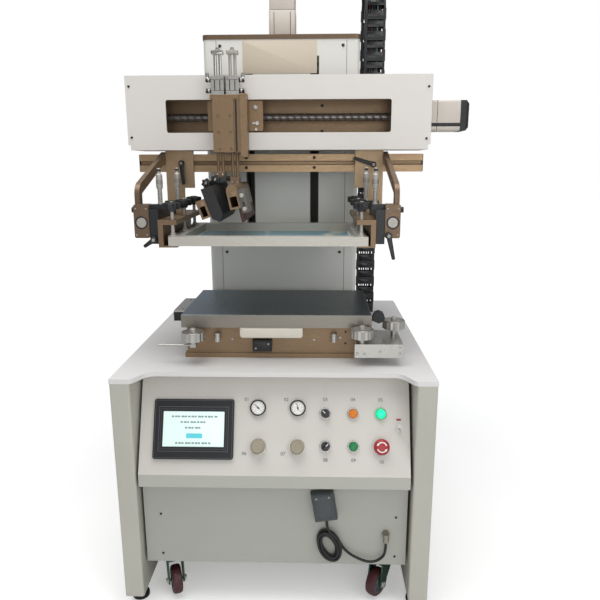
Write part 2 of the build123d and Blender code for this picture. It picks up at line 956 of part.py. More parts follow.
# Bright fittings of the print table: folded tab, plungers, side plate and corner shelf
side_block_right = -platen_width / 2
shelf_top = corner_bracket_bottom + corner_bracket_height
with BuildPart() as platen_fittings:
    block(
        tab_left,
        tab_right,
        base_front - tab_reach,
        base_front,
        platen_bottom - tab_sheet,
        platen_bottom,
    )
    with BuildSketch(Plane.XZ.offset(-(base_front - tab_reach + tab_sheet))):
        with BuildLine():
            FilletPolyline(
                (tab_left, platen_bottom),
                (tab_left, platen_bottom - tab_drop),
                (tab_right, platen_bottom - tab_drop),
                (tab_right, platen_bottom),
                radius=tab_corner,
            )
            Line((tab_right, platen_bottom), (tab_left, platen_bottom))
        make_face()
    extrude(amount=tab_sheet)
    for x in plunger_x:
        middle_y = base_front - plunger_length / 2
        crossing = plunger_diameter / 4
        block(
            x - crossing,
            x + crossing,
            middle_y,
            base_front,
            plunger_z - crossing,
            plunger_z + crossing,
        )
        rod(
            x,
            middle_y,
            plunger_z - plunger_length / 2,
            plunger_z + plunger_length / 2,
            plunger_diameter,
        )
    block(
        side_block_right - side_block_width,
        side_block_right,
        side_block_front,
        side_block_back,
        side_block_bottom + side_block_height,
        side_block_bottom + side_block_height + side_plate_thickness,
    )
    block(
        base_right,
        corner_bracket_right,
        corner_bracket_front,
        corner_bracket_front + corner_shelf_depth,
        shelf_top - corner_bracket_wall,
        shelf_top,
    )
    block(
        corner_bracket_left,
        corner_bracket_right,
        corner_bracket_front,
        corner_bracket_front + corner_bracket_wall,
        corner_bracket_bottom,
        shelf_top,
    )
keep(platen_fittings, "platen_fittings")

# Black fittings: limit switch under the tab, body of the side plate and a stop knob
with BuildPart() as platen_stops:
    block(
        limit_switch_x - limit_switch_width / 2,
        limit_switch_x + limit_switch_width / 2,
        base_front - limit_switch_depth,
        base_front,
        limit_switch_bottom,
        limit_switch_bottom + limit_switch_height,
    )
    block(
        side_block_right - side_block_width,
        side_block_right,
        side_block_front,
        side_block_back,
        side_block_bottom,
        side_block_bottom + side_block_height,
    )
    with BuildSketch(Plane.XZ.offset(-stop_knob_back)):
        with Locations((stop_knob_x, stop_knob_z)):
            RegularPolygon(stop_knob_width / 2, 8)
    extrude(amount=stop_knob_depth)
    block(
        platen_width / 2,
        stop_knob_x,
        stop_knob_back - stop_knob_depth + stop_knob_inset,
        stop_knob_back - stop_knob_inset,
        stop_knob_z - stop_knob_width / 3,
        stop_knob_z,
    )
keep(platen_stops, "platen_stops")

# Hand wheels of the print table: fluted rim on an upright stem, one on an arm at the
# left and two on the corner shelf, with a thin setting rod at the left
arm_top = left_dial_top - dial_height - dial_stem
dial_places = (
    (left_dial_x, left_dial_y, left_dial_top, arm_top),
    (front_dial_x, front_dial_y, front_dial_top, shelf_top),
    (rear_dial_x, rear_dial_y, rear_dial_top, shelf_top),
)
with BuildPart() as platen_handwheels:
    for x, y, top, foot in dial_places:
        with BuildSketch(Plane.XY.offset(top - dial_height)):
            with Locations((x, y)):
                Polygon(
                    *fluted_outline(dial_diameter, dial_flutes, dial_flute_depth),
                    align=None,
                )
        extrude(amount=dial_height)
        rod(x, y, foot, top - dial_height, dial_hub_diameter)
        rod(x, y, top, top + dial_knob_height, dial_hub_diameter / 2)
    block(
        left_dial_x - dial_hub_diameter / 2,
        left_dial_x + dial_hub_diameter / 2,
        left_dial_y - dial_hub_diameter / 2,
        base_front,
        arm_top - dial_arm_height,
        arm_top,
    )
    crossbar(
        left_dial_x - setting_rod_length,
        left_dial_x,
        left_dial_y,
        arm_top - dial_arm_height / 2,
        setting_rod_diameter,
    )
keep(platen_handwheels, "platen_handwheels")

# Column: housing with two tall slots that the lift arms move in
column_middle = (0, (column_front + column_back) / 2)
with BuildPart() as column_body:
    with BuildSketch(Plane.XY.offset(table_height)):
        with Locations(column_middle):
            RectangleRounded(column_width, column_depth, column_corner_radius)
    extrude(amount=column_top - table_height)
    for x in (-slot_spacing / 2, slot_spacing / 2):
        block(
            x - slot_width / 2,
            x + slot_width / 2,
            column_front,
            column_front + slot_pocket_depth,
            slot_bottom,
            slot_top,
            Mode.SUBTRACT,
        )
keep(column_body, "column_body")
with BuildPart() as column_top_plate:
    with BuildSketch(Plane.XY.offset(column_top)):
        with Locations(column_middle):
            RectangleRounded(
                column_width + 2 * top_plate_overhang,
                column_depth + 2 * top_plate_overhang,
                column_corner_radius + top_plate_overhang,
            )
    extrude(amount=top_plate_thickness)
keep(column_top_plate, "column_top_plate")

# Lift motor standing on the column: gearbox, motor body and cap
lift_base = column_top + top_plate_thickness
motor_body_size = motor_size - 2 * motor_step
with BuildPart() as lift_motor:
    with BuildSketch(Plane.XY.offset(lift_base)):
        with Locations((0, lift_motor_y)):
            RectangleRounded(motor_size, motor_size, motor_corner)
    extrude(amount=gearbox_height)
    with BuildSketch(Plane.XY.offset(lift_base + gearbox_height)):
        with Locations((0, lift_motor_y)):
            RectangleRounded(motor_body_size, motor_body_size, motor_corner)
    extrude(amount=lift_motor_height)
    with BuildSketch(Plane.XY.offset(lift_base + gearbox_height + lift_motor_height)):
        with Locations((0, lift_motor_y)):
            Rectangle(motor_size, motor_size)
    extrude(amount=motor_cap_length)
    chamfer(lift_motor.faces().sort_by(Axis.Z)[-1].edges(), motor_cap_chamfer)
keep(lift_motor, "lift_motor")

# Cable chain: two side walls that follow the loop, and a crossbar for each link
chain_left = column_width / 2 + chain_side_gap
chain_right = chain_left + chain_width
chain_back_y = chain_front_y + 2 * chain_bend
chain_middle_y = chain_front_y + chain_bend
with BuildPart() as cable_chain:
    for start in (chain_left, chain_right - chain_wall):
        with BuildSketch(Plane.YZ.offset(start)):
            with Locations((chain_middle_y, chain_top)):
                Circle(chain_bend + chain_height / 2)
                Circle(chain_bend - chain_height / 2, mode=Mode.SUBTRACT)
                Rectangle(
                    2 * (chain_bend + chain_height),
                    chain_bend + chain_height,
                    align=(Align.CENTER, Align.MAX),
                    mode=Mode.SUBTRACT,
                )
            with Locations((chain_back_y, (table_height + chain_top) / 2)):
                Rectangle(chain_height, chain_top - table_height)
            with Locations((chain_front_y, (chain_end_z + chain_top) / 2)):
                Rectangle(chain_height, chain_top - chain_end_z)
        extrude(amount=chain_wall)
    for y, bottom in ((chain_back_y, table_height), (chain_front_y, chain_end_z)):
        for i in range(int((chain_top - bottom) / chain_pitch) + 1):
            z = bottom + i * chain_pitch
            block(
                chain_left,
                chain_right,
                y - chain_height / 2,
                y + chain_height / 2,
                z,
                z + chain_bar,
            )
    bend_links = int(pi * chain_bend / chain_pitch)
    for i in range(bend_links):
        angle = 180 * (i + 0.5) / bend_links
        with Locations(Location((0, chain_middle_y, chain_top), (angle, 0, 0))):
            with Locations(((chain_left + chain_right) / 2, chain_bend, 0)):
                Box(chain_width, chain_height, chain_bar)
keep(cable_chain, "cable_chain")

# Beam cover: folded sheet box, open at the back, with a long window in its front and
# a notch at each lower corner where the folds meet
with BuildPart() as beam_cover:
    block(
        -beam_width / 2,
        beam_width / 2,
        beam_front,
        spine_front,
        beam_bottom,
        beam_top,
    )
    cover_back = beam_cover.faces().sort_by(Axis.Y)[-1]
    offset(amount=-cover_sheet, openings=cover_back)
    with BuildSketch(Plane.XZ.offset(-beam_front)):
        with Locations((0, (window_bottom + window_top) / 2)):
            RectangleRounded(window_width, window_top - window_bottom, window_corner)
    extrude(amount=-cover_sheet, mode=Mode.SUBTRACT)
    for side in (-1, 1):
        block(
            side * beam_width / 2,
            side * (beam_width / 2 - cover_notch),
            beam_front,
            spine_front,
            beam_bottom,
            beam_bottom + cover_notch_height,
            Mode.SUBTRACT,
        )
keep(beam_cover, "beam_cover")

# Beam spine: extrusion with two guides in front and two grooves at the back
spine_half = beam_width / 2 - cover_notch
guide_z = (screw_z - guide_spacing / 2, screw_z + guide_spacing / 2)
with BuildPart() as beam_spine:
    block(-spine_half, spine_half, spine_front, beam_back, beam_bottom, beam_top)
    for z in guide_z:
        block(
            -spine_half + guide_end_gap,
            spine_half - guide_end_gap,
            spine_front - guide_size,
            spine_front,
            z - guide_size / 2,
            z + guide_size / 2,
        )
        block(
            -spine_half,
            spine_half,
            beam_back - spine_groove_depth,
            beam_back,
            z - spine_groove / 2,
            z + spine_groove / 2,
            Mode.SUBTRACT,
        )
keep(beam_spine, "beam_spine")

# Lift arms: one through each slot of the column, bolted to the back of the spine
with BuildPart() as lift_arms:
    for x in (-slot_spacing / 2, slot_spacing / 2):
        block(
            x - lift_arm_thickness / 2,
            x + lift_arm_thickness / 2,
            beam_back,
            column_front + lift_arm_reach,
            screw_z - lift_arm_height / 2,
            screw_z + lift_arm_height / 2,
        )
keep(lift_arms, "lift_arms")

# Ball screw between its two bearing blocks, which stand on the spine
cover_inside = beam_width / 2 - cover_sheet
with BuildPart() as ball_screw:
    crossbar(-cover_inside, cover_inside, screw_y, screw_z, screw_diameter)
    for side in (-1, 1):
        block(
            side * cover_inside,
            side * (cover_inside - bearing_length),
            screw_y - bearing_width / 2,
            spine_front - guide_size,
            screw_z - bearing_width / 2,
            screw_z + bearing_width / 2,
        )
keep(ball_screw, "ball_screw")

# Servo motor on the beam's right end: body and dark cap
motor_start = beam_width / 2
with BuildPart() as beam_motor:
    with BuildSketch(Plane.YZ.offset(motor_start)):
        with Locations((screw_y, screw_z)):
            RectangleRounded(motor_size, motor_size, motor_corner)
    extrude(amount=beam_motor_length)
    with BuildSketch(Plane.YZ.offset(motor_start + beam_motor_length)):
        with Locations((screw_y, screw_z)):
            Rectangle(motor_size, motor_size)
    extrude(amount=motor_cap_length)
    chamfer(beam_motor.faces().sort_by(Axis.X)[-1].edges(), motor_cap_chamfer)
keep(beam_motor, "beam_motor")


def holder(side, reach):
    """X of a place on one screen holder, at its reach from the middle line."""
    return holder_x + side * reach


# Cross rail: slotted profile under the beam, with a spacer over each hanger plate
with BuildPart() as cross_rail:
    with BuildSketch(Plane.YZ.offset(-rail_length / 2)):
        with Locations((rail_back - rail_size / 2, rail_top - rail_size / 2)):
            Rectangle(rail_size, rail_size)
            with GridLocations(rail_size - rail_slot_depth, 0, 2, 1):
                Rectangle(rail_slot_depth, rail_slot, mode=Mode.SUBTRACT)
    extrude(amount=rail_length)
    for side in (-1, 1):
        block(
            holder(side, hanger_inner + rail_beam_gap),
            holder(side, hanger_outer - rail_beam_gap),
            rail_front + rail_slot,
            rail_back - rail_slot,
            rail_top,
            beam_bottom,
        )
keep(cross_rail, "cross_rail")

# Carriage plate behind the window: its saddle carries the nut and a runner per guide
plate_front = beam_front + cover_sheet + moving_gap
plate_back = plate_front + plate_thickness
plate_middle = (plate_left + plate_right) / 2
saddle_back = plate_back + plate_thickness
saddle_half_height = (guide_spacing + runner_height) / 2
with BuildPart() as carriage_plate:
    with BuildSketch(Plane.XZ.offset(-plate_back)):
        with Locations((plate_middle, screw_z)):
            RectangleRounded(plate_right - plate_left, plate_height, plate_corner)
    extrude(amount=plate_thickness)
    block(
        plate_middle - runner_length / 2,
        plate_middle + runner_length / 2,
        plate_back,
        saddle_back,
        screw_z - saddle_half_height,
        screw_z + saddle_half_height,
    )
    block(
        plate_middle - nut_width / 2,
        plate_middle + nut_width / 2,
        plate_back,
        screw_y + nut_height / 2,
        screw_z - nut_height / 2,
        screw_z + nut_height / 2,
    )
    crossbar(
        plate_left,
        plate_right,
        screw_y,
        screw_z,
        screw_diameter + 2 * runner_gap,
        Mode.SUBTRACT,
    )
    for z in guide_z:
        block(
            plate_middle - runner_length / 2,
            plate_middle + runner_length / 2,
            saddle_back,
            spine_front - guide_size - runner_gap,
            z - runner_height / 2,
            z + runner_height / 2,
        )
keep(carriage_plate, "carriage_plate")

# Carriage bracket in front of the beam: slide body, cover plate, side bar and cap
bracket_back = beam_front - moving_gap
rod_x = [x + hand * rod_spread / 2 for x in cylinder_x for hand in (-1, 1)]
cap_top = bracket_top + bracket_cap
with BuildPart() as carriage_bracket:
    block(
        bracket_left,
        bracket_bar_left,
        bracket_front + bracket_plate,
        bracket_back,
        bracket_bottom,
        bracket_top,
    )
    block(
        bracket_left,
        bracket_left + bracket_plate_width,
        bracket_front,
        bracket_front + bracket_plate,
        bracket_bottom,
        bracket_top,
    )
    block(
        bracket_bar_left,
        bracket_bar_right,
        bracket_front,
        bracket_back,
        bracket_bar_bottom,
        bracket_bar_top,
    )
    block(
        bracket_cap_left,
        bracket_bar_left,
        rod_y - cylinder_depth / 2,
        bracket_back,
        bracket_top,
        cap_top,
    )
    block(
        bracket_left + bracket_plate,
        bracket_bar_left,
        bracket_back,
        plate_front,
        window_bottom + moving_gap,
        window_top - moving_gap,
    )
    for x in rod_x:
        rod(x, rod_y, bracket_bottom, cap_top, rod_diameter + 2 * rod_hole_gap, Mode.SUBTRACT)
keep(carriage_bracket, "carriage_bracket")

# Twin-rod air cylinders on the cap, with two flow valves on each outer side
cylinder_top = cap_top + cylinder_height
valve_sides = (
    (cylinder_x[0] - cylinder_width / 2, -1),
    (cylinder_x[1] + cylinder_width / 2, 1),
)
with BuildPart() as lift_cylinders:
    for x in cylinder_x:
        block(
            x - cylinder_width / 2,
            x + cylinder_width / 2,
            rod_y - cylinder_depth / 2,
            rod_y + cylinder_depth / 2,
            cap_top,
            cylinder_top,
        )
    for x in rod_x:
        rod(x, rod_y, cap_top, cylinder_top, rod_diameter + 2 * rod_hole_gap, Mode.SUBTRACT)
    for x, side in valve_sides:
        start, end = sorted((x, x + side * valve_length))
        valve_y = rod_y - cylinder_depth / 4
        for z in (cap_top + valve_inset, cylinder_top - valve_inset):
            crossbar(start, end, valve_y, z, valve_diameter)
        with BuildSketch(Plane.XY.offset(cylinder_top - valve_inset)):
            with Locations((x + side * (valve_length - valve_diameter / 2), valve_y)):
                RegularPolygon(valve_diameter / 2, 6)
        extrude(amount=valve_rise)
keep(lift_cylinders, "lift_cylinders")


def print_rods(x, bottom):
    """Add the twin rods of one cylinder, their yoke and its screw to the active part."""
    for hand in (-1, 1):
        rod(x + hand * rod_spread / 2, rod_y, bottom, yoke_z, rod_diameter)
    block(
        x - yoke_width / 2,
        x + yoke_width / 2,
        rod_y - yoke_depth / 2,
        rod_y + yoke_depth / 2,
        yoke_z,
        yoke_z + yoke_height,
    )
    rod(x, rod_y, yoke_z + yoke_height, yoke_z + yoke_height + yoke_screw, rod_diameter)


def head_block(x, bottom, top):
    """Add the block that takes the lower ends of one cylinder's rods."""
    block(
        x - head_block_width / 2,
        x + head_block_width / 2,
        rod_y - head_block_depth / 2,
        rod_y + head_block_depth / 2,
        bottom,
        top,
    )


# Squeegee holder: rods, head block, slanted clamp bar with knobs and a square tube
yoke_z = cylinder_top + yoke_clearance
squeegee_plane = tip_plane(squeegee_tip_x, squeegee_tilt)
tube_centre = (
    -(squeegee_blade_width + squeegee_tube_width) / 2,
    squeegee_tube_rise + squeegee_tube_height / 2,
)
tube_top = squeegee_tube_rise + squeegee_tube_height
bar_top = squeegee_blade_length + squeegee_bar_height
bar_plane = squeegee_plane.offset(-(rod_y - print_front - clamp_bar_length / 2))
with BuildPart() as squeegee_holder:
    print_rods(cylinder_x[0], squeegee_head_z)
    head_block(cylinder_x[0], squeegee_head_z - squeegee_head_height, squeegee_head_z)
    with BuildSketch(squeegee_plane):
        with Locations(tube_centre):
            Rectangle(squeegee_tube_width, squeegee_tube_height)
            Rectangle(
                squeegee_tube_width - 2 * tube_wall,
                squeegee_tube_height - 2 * tube_wall,
                mode=Mode.SUBTRACT,
            )
    extrude(amount=-print_length)
    with BuildSketch(bar_plane):
        with Locations(((squeegee_bar_left + squeegee_bar_right) / 2, bar_top)):
            Rectangle(
                squeegee_bar_right - squeegee_bar_left,
                squeegee_bar_height,
                align=(Align.CENTER, Align.MAX),
            )
        with Locations((tube_centre[0] + tube_wall, squeegee_blade_length)):
            Rectangle(
                squeegee_tube_width - 2 * tube_wall,
                squeegee_blade_length - tube_top,
                align=(Align.CENTER, Align.MAX),
            )
    extrude(amount=-clamp_bar_length)
    for along in (squeegee_bar_left + star_knob_diameter / 2, squeegee_bar_right / 3):
        with BuildSketch(bar_plane):
            with Locations((along, bar_top)):
                Polygon(*fluted_outline(star_knob_diameter, star_lobes, star_lobe_depth), align=None)
        extrude(amount=star_knob_depth)
keep(squeegee_holder, "squeegee_holder")
with BuildPart() as squeegee_blade:
    half_blade = squeegee_blade_width / 2
    with BuildSketch(squeegee_plane.offset(-blade_end_inset)):
        with BuildLine():
            Polyline(
                (0, 0),
                (half_blade, half_blade),
                (half_blade, squeegee_blade_length),
                (-half_blade, squeegee_blade_length),
                (-half_blade, half_blade),
                close=True,
            )
        make_face()
    extrude(amount=-(print_length - 2 * blade_end_inset))
keep(squeegee_blade, "squeegee_blade")

# Flood bar holder: rods, head block, arched tube and the plate that sets its height
flood_plane = tip_plane(flood_tip_x, flood_tilt)
flood_tube_x = (flood_blade_width - flood_tube_width) / 2
flood_tube_top = flood_tube_rise + flood_tube_height
with BuildPart() as flood_bar_holder:
    print_rods(cylinder_x[1], flood_head_z)
    head_block(cylinder_x[1], flood_head_z - flood_head_height, flood_head_z)
    with BuildSketch(flood_plane):
        with Locations((flood_tube_x, flood_tube_rise + flood_tube_height / 2)):
            Rectangle(flood_tube_width, flood_tube_height)
        with Locations((flood_tube_x, flood_tube_top)):
            Circle(flood_tube_width / 2 - flood_crown_step)
        with Locations((flood_tube_x, flood_tube_rise + flood_tube_height / 2)):
            Rectangle(
                flood_tube_width - 2 * tube_wall,
                flood_tube_height - 2 * tube_wall,
                mode=Mode.SUBTRACT,
            )
    extrude(amount=-print_length)
    with BuildSketch(flood_plane):
        with Locations(
            (
                (flood_blade_width + flood_plate_width) / 2,
                flood_plate_rise + flood_plate_height / 2,
            )
        ):
            Rectangle(flood_plate_width, flood_plate_height)
    extrude(amount=-flood_plate_length)
keep(flood_bar_holder, "flood_bar_holder")
with BuildPart() as flood_bar_blade:
    with BuildSketch(flood_plane.offset(-blade_end_inset)):
        Rectangle(
            flood_blade_width,
            flood_tube_rise,
            align=(Align.CENTER, Align.MIN),
        )
    extrude(amount=-(print_length - 2 * blade_end_inset))
keep(flood_bar_blade, "flood_bar_blade")

# Screen frame: square tubes round the stretched mesh
frame_back = screen_frame_front + screen_frame_depth
frame_middle = (screen_frame_x, (screen_frame_front + frame_back) / 2)
frame_top = screen_frame_bottom + screen_frame_height
inner_width = screen_frame_width - 2 * screen_frame_bar
inner_depth = screen_frame_depth - 2 * screen_frame_bar
with BuildPart() as screen_frame:
    with BuildSketch(Plane.XY.offset(screen_frame_bottom)):
        with Locations(frame_middle):
            Rectangle(screen_frame_width, screen_frame_depth)
            Rectangle(inner_width, inner_depth, mode=Mode.SUBTRACT)
    extrude(amount=screen_frame_height)
keep(screen_frame, "screen_frame")
with BuildPart() as screen_mesh:
    with BuildSketch(Plane.XY.offset(screen_frame_bottom)):
        with Locations(frame_middle):
            Rectangle(inner_width, inner_depth)
    extrude(amount=mesh_thickness)
keep(screen_mesh, "screen_mesh")

# Screen arms: one channel along each side of the frame, its lip under the frame and
# its upper flange bored for the clamp screws
web_outer = channel_web_inner + channel_web
lip_bottom = screen_frame_bottom - channel_lip
with BuildPart() as screen_arms:
    for side in (-1, 1):
        with BuildSketch(Plane.XZ.offset(-channel_front)):
            with BuildLine():
                Polyline(
                    (holder(side, channel_inner), channel_top - channel_flange),
                    (holder(side, channel_inner), channel_top),
                    (holder(side, web_outer), channel_top),
                    (holder(side, web_outer), lip_bottom),
                    (holder(side, channel_inner), lip_bottom),
                    (holder(side, channel_inner), screen_frame_bottom),
                    (holder(side, channel_web_inner), screen_frame_bottom),
                    (holder(side, channel_web_inner), channel_top - channel_flange),
                    close=True,
                )
            make_face()
        extrude(amount=channel_front - channel_back)
        for y in clamp_y:
            rod(
                holder(side, clamp_reach),
                y,
                channel_top - channel_flange,
                channel_top,
                clamp_screw_diameter + 2 * clamp_hole_gap,
                Mode.SUBTRACT,
            )
keep(screen_arms, "screen_arms")

# Hanger plates: stepped plates on the rail's front, each standing on its channel and
# reaching down past the channel's outer side
hanger_foot_outer = web_outer + hanger_side_gap
with BuildPart() as hanger_plates:
    for side in (-1, 1):
        with BuildSketch(Plane.XZ.offset(-rail_front)):
            with BuildLine():
                Polyline(
                    (holder(side, hanger_inner), beam_bottom),
                    (holder(side, hanger_outer), beam_bottom),
                    (holder(side, hanger_outer), hanger_foot_bottom),
                    (holder(side, hanger_foot_outer), hanger_foot_bottom),
                    (holder(side, hanger_foot_outer), channel_top),
                    (holder(side, hanger_foot_inner), channel_top),
                    (holder(side, hanger_foot_inner), hanger_step_z),
                    (holder(side, hanger_inner), hanger_step_z),
                    close=True,
                )
            make_face()
        extrude(amount=hanger_thickness)
keep(hanger_plates, "hanger_plates")

# Braces: flat bars bent once, from the hanger plates' outer sides to the end blocks
with BuildPart() as arm_braces:
    for side in (-1, 1):
        middle = holder(side, hanger_outer + brace_thickness / 2)
        with BuildLine(Plane.YZ.offset(middle)) as brace_path:
            FilletPolyline(
                (rail_front - hanger_thickness / 2, brace_top_z),
                (brace_foot_y, brace_knee_z),
                (brace_foot_y, end_block_top),
                radius=brace_bend_radius,
            )
        section = Plane(
            origin=brace_path.line @ 0,
            x_dir=(1, 0, 0),
            z_dir=brace_path.line % 0,
        )
        with BuildSketch(section):
            Rectangle(brace_thickness, brace_width)
        sweep(path=brace_path.line)
keep(arm_braces, "arm_braces")

# End blocks with the round shafts that run back to the hanger plates
with BuildPart() as arm_end_blocks:
    for side in (-1, 1):
        block(
            holder(side, end_block_inner),
            holder(side, end_block_outer),
            end_block_front,
            end_block_front + end_block_depth,
            end_block_bottom,
            end_block_top,
        )
    chamfer(arm_end_blocks.edges().filter_by(Axis.Y), end_block_chamfer)
    for side in (-1, 1):
        shaft_x = holder(side, (end_block_inner + end_block_outer) / 2)
        with BuildSketch(Plane.XZ.offset(-end_block_front)):
            with Locations((shaft_x, shaft_z)):
                Circle(shaft_diameter / 2 + shaft_ring_width)
                Circle(shaft_diameter / 2, mode=Mode.SUBTRACT)
        extrude(amount=-shaft_ring_depth, mode=Mode.SUBTRACT)
        with BuildSketch(Plane.XZ.offset(-end_block_front - end_block_depth)):
            with Locations((shaft_x, shaft_z)):
                Circle(shaft_diameter / 2)
        extrude(amount=-(rail_front - hanger_thickness - end_block_front - end_block_depth))
        screw_start, screw_end = sorted(
            (holder(side, end_block_outer), holder(side, end_block_outer + side_screw_length))
        )
        crossbar(
            screw_start,
            screw_end,
            end_block_front + end_block_depth / 2,
            end_block_top - side_screw_diameter,
            side_screw_diameter,
        )
keep(arm_end_blocks, "arm_end_blocks")

# Slides between the channels and the end blocks, with a bridge for each micrometer
with BuildPart() as arm_slides:
    for side in (-1, 1):
        block(
            holder(side, web_outer),
            holder(side, end_block_inner),
            slide_front,
            slide_front + slide_length,
            slide_bottom,
            slide_top,
        )
        for y, reach in zip(micrometer_y, micrometer_reach):
            block(
                holder(side, reach - micrometer_thimble / 2),
                holder(side, end_block_inner),
                y - bridge_depth / 2,
                y + bridge_depth / 2,
                slide_top,
                slide_top + bridge_thickness,
            )
keep(arm_slides, "arm_slides")

# Micrometers on their bridges: sleeve, thimble and ratchet
sleeve_bottom = slide_top + bridge_thickness
thimble_bottom = sleeve_bottom + micrometer_sleeve_length
ratchet_bottom = thimble_bottom + micrometer_thimble_length
with BuildPart() as height_micrometers:
    for side in (-1, 1):
        for y, reach in zip(micrometer_y, micrometer_reach):
            x = holder(side, reach)
            rod(x, y, sleeve_bottom, thimble_bottom, micrometer_sleeve)
            with BuildSketch(Plane.XY.offset(thimble_bottom)):
                with Locations((x, y)):
                    RegularPolygon(micrometer_thimble / 2, 20)
            extrude(amount=micrometer_thimble_length)
            with BuildSketch(Plane.XY.offset(ratchet_bottom)):
                with Locations((x, y)):
                    RegularPolygon(micrometer_tip / 2, 12)
            extrude(amount=micrometer_tip_length)
keep(height_micrometers, "height_micrometers")

# Frame clamps: disc on the frame, screw through the flange and a star knob above it,
# with the lock levers of the holders
lever_places = (
    (holder(-1, 265.5), 1162.0, rail_front - hanger_thickness, -86, lever_length),
    (holder(1, 284.0), 1157.0, rail_front - hanger_thickness, 162, lever_length),
    (holder(-1, 279.0), 977.0, slide_front, -146, short_lever_length),
    (holder(1, 298.5), 988.0, end_block_front, -77, lever_length),
)
with BuildPart() as frame_clamps:
    for side in (-1, 1):
        for y in clamp_y:
            with BuildSketch(Plane.XY.offset(frame_top)):
                with Locations((holder(side, clamp_reach), y)):
                    RegularPolygon(clamp_disc_diameter / 2, 16)
            extrude(amount=clamp_disc_height)
            with BuildSketch(Plane.XY.offset(frame_top)):
                with Locations((holder(side, clamp_reach), y)):
                    RegularPolygon(clamp_screw_diameter / 2, 10)
            extrude(amount=clamp_knob_bottom - frame_top)
            with BuildSketch(Plane.XY.offset(clamp_knob_bottom)):
                with Locations((holder(side, clamp_reach), y)):
                    Polygon(
                        *fluted_outline(clamp_knob_diameter, clamp_knob_lobes, clamp_lobe_depth),
                        align=None,
                    )
            extrude(amount=clamp_knob_height)
    for x, z, back, direction, length in lever_places:
        hub_plane = Plane.XZ.offset(-back)
        tip = (x + length * cos(radians(direction)), z + length * sin(radians(direction)))
        with BuildSketch(hub_plane):
            with Locations((x, z)):
                RegularPolygon(lever_hub_diameter / 2, small_round_sides)
        extrude(amount=lever_stand_off + lever_thickness)
        with BuildSketch(hub_plane.offset(lever_stand_off)):
            with Locations((x, z)):
                RegularPolygon(lever_hub_diameter / 2, small_round_sides)
            with Locations(tip):
                RegularPolygon(lever_tip_diameter / 2, small_round_sides)
            make_hull()
        extrude(amount=lever_thickness)
keep(frame_clamps, "frame_clamps")
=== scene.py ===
"""Looks of the servo screen printing machine, in metres, +Z up, operator side towards -Y."""

import math

import bmesh
import bpy
from mathutils import Matrix, Vector


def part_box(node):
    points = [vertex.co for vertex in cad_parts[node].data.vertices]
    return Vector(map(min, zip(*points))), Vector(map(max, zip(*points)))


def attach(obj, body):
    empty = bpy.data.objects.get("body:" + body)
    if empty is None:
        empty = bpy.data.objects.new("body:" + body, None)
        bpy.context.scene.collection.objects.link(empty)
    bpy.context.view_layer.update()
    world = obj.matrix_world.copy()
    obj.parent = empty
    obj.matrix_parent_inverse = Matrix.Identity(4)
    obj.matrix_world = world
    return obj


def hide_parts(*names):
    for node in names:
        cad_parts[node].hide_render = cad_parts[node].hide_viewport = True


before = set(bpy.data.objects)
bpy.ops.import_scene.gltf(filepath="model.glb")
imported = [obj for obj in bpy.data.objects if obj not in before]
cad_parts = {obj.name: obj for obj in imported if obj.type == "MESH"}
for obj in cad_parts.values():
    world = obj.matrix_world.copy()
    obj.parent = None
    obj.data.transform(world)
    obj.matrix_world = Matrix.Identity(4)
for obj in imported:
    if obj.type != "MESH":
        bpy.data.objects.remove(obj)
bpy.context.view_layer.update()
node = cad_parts

MM = 0.001

# The machine was drawn from the middle of its side panels and the front faces of its
# legs, so places below are given in millimetres from there
panels_low, panels_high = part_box("side_panels")
MIDDLE_X = (panels_low.x + panels_high.x) / 2
FRONT_Y = panels_low.y


def at(x, y, z):
    """Point in the frame for a drawing place in millimetres."""
    return Vector((MIDDLE_X + x * MM, FRONT_Y + y * MM, z * MM))


# Camera fitted to the photograph's frame of 600 by 600 pixels
IMAGE_SIZE = 600
FOCAL_PIXELS = 586.8
SENSOR_WIDTH = 36.0
CAMERA_PLACE = at(104.81, -1331.82, 1159.41)
CAMERA_DOWN = math.radians(13.063)
CAMERA_LEFT = math.radians(1.611)
CAMERA_ROLL = math.radians(-0.142)


def add_camera():
    """Set the scene's camera at the place and angle of the photograph."""
    flat = Vector((-math.sin(CAMERA_LEFT), math.cos(CAMERA_LEFT), 0))
    right = Vector((math.cos(CAMERA_LEFT), math.sin(CAMERA_LEFT), 0))
    ahead = flat * math.cos(CAMERA_DOWN) - Vector((0, 0, math.sin(CAMERA_DOWN)))
    over = right.cross(ahead)
    rolled = right * math.cos(CAMERA_ROLL) + over * math.sin(CAMERA_ROLL)
    data = bpy.data.cameras.new("photo_camera")
    data.sensor_width = SENSOR_WIDTH
    data.lens = FOCAL_PIXELS * SENSOR_WIDTH / IMAGE_SIZE
    camera = add_object("photo_camera", data)
    turned = Matrix((rolled, rolled.cross(ahead), -ahead)).transposed()
    camera.matrix_world = Matrix.Translation(CAMERA_PLACE) @ turned.to_4x4()
    bpy.context.scene.camera = camera


def linear(colour):
    """Linear red, green, blue and alpha of an sRGB hex colour."""
    shares = [int(colour[i : i + 2], 16) / 255 for i in (1, 3, 5)]
    return (*(s / 12.92 if s <= 0.04045 else ((s + 0.055) / 1.055) ** 2.4 for s in shares), 1)


def add_node(tree, kind, inputs=None, **settings):
    """Add a node with its settings; an input is a value, or an output that is linked."""
    made = tree.nodes.new(kind)
    for name, value in settings.items():
        setattr(made, name, value)
    for name, value in (inputs or {}).items():
        if isinstance(value, bpy.types.NodeSocket):
            tree.links.new(value, made.inputs[name])
        else:
            made.inputs[name].default_value = value
    return made


def add_object(name, data):
    """Put an object made of some data in the scene."""
    made = bpy.data.objects.new(name, data)
    bpy.context.scene.collection.objects.link(made)
    return made


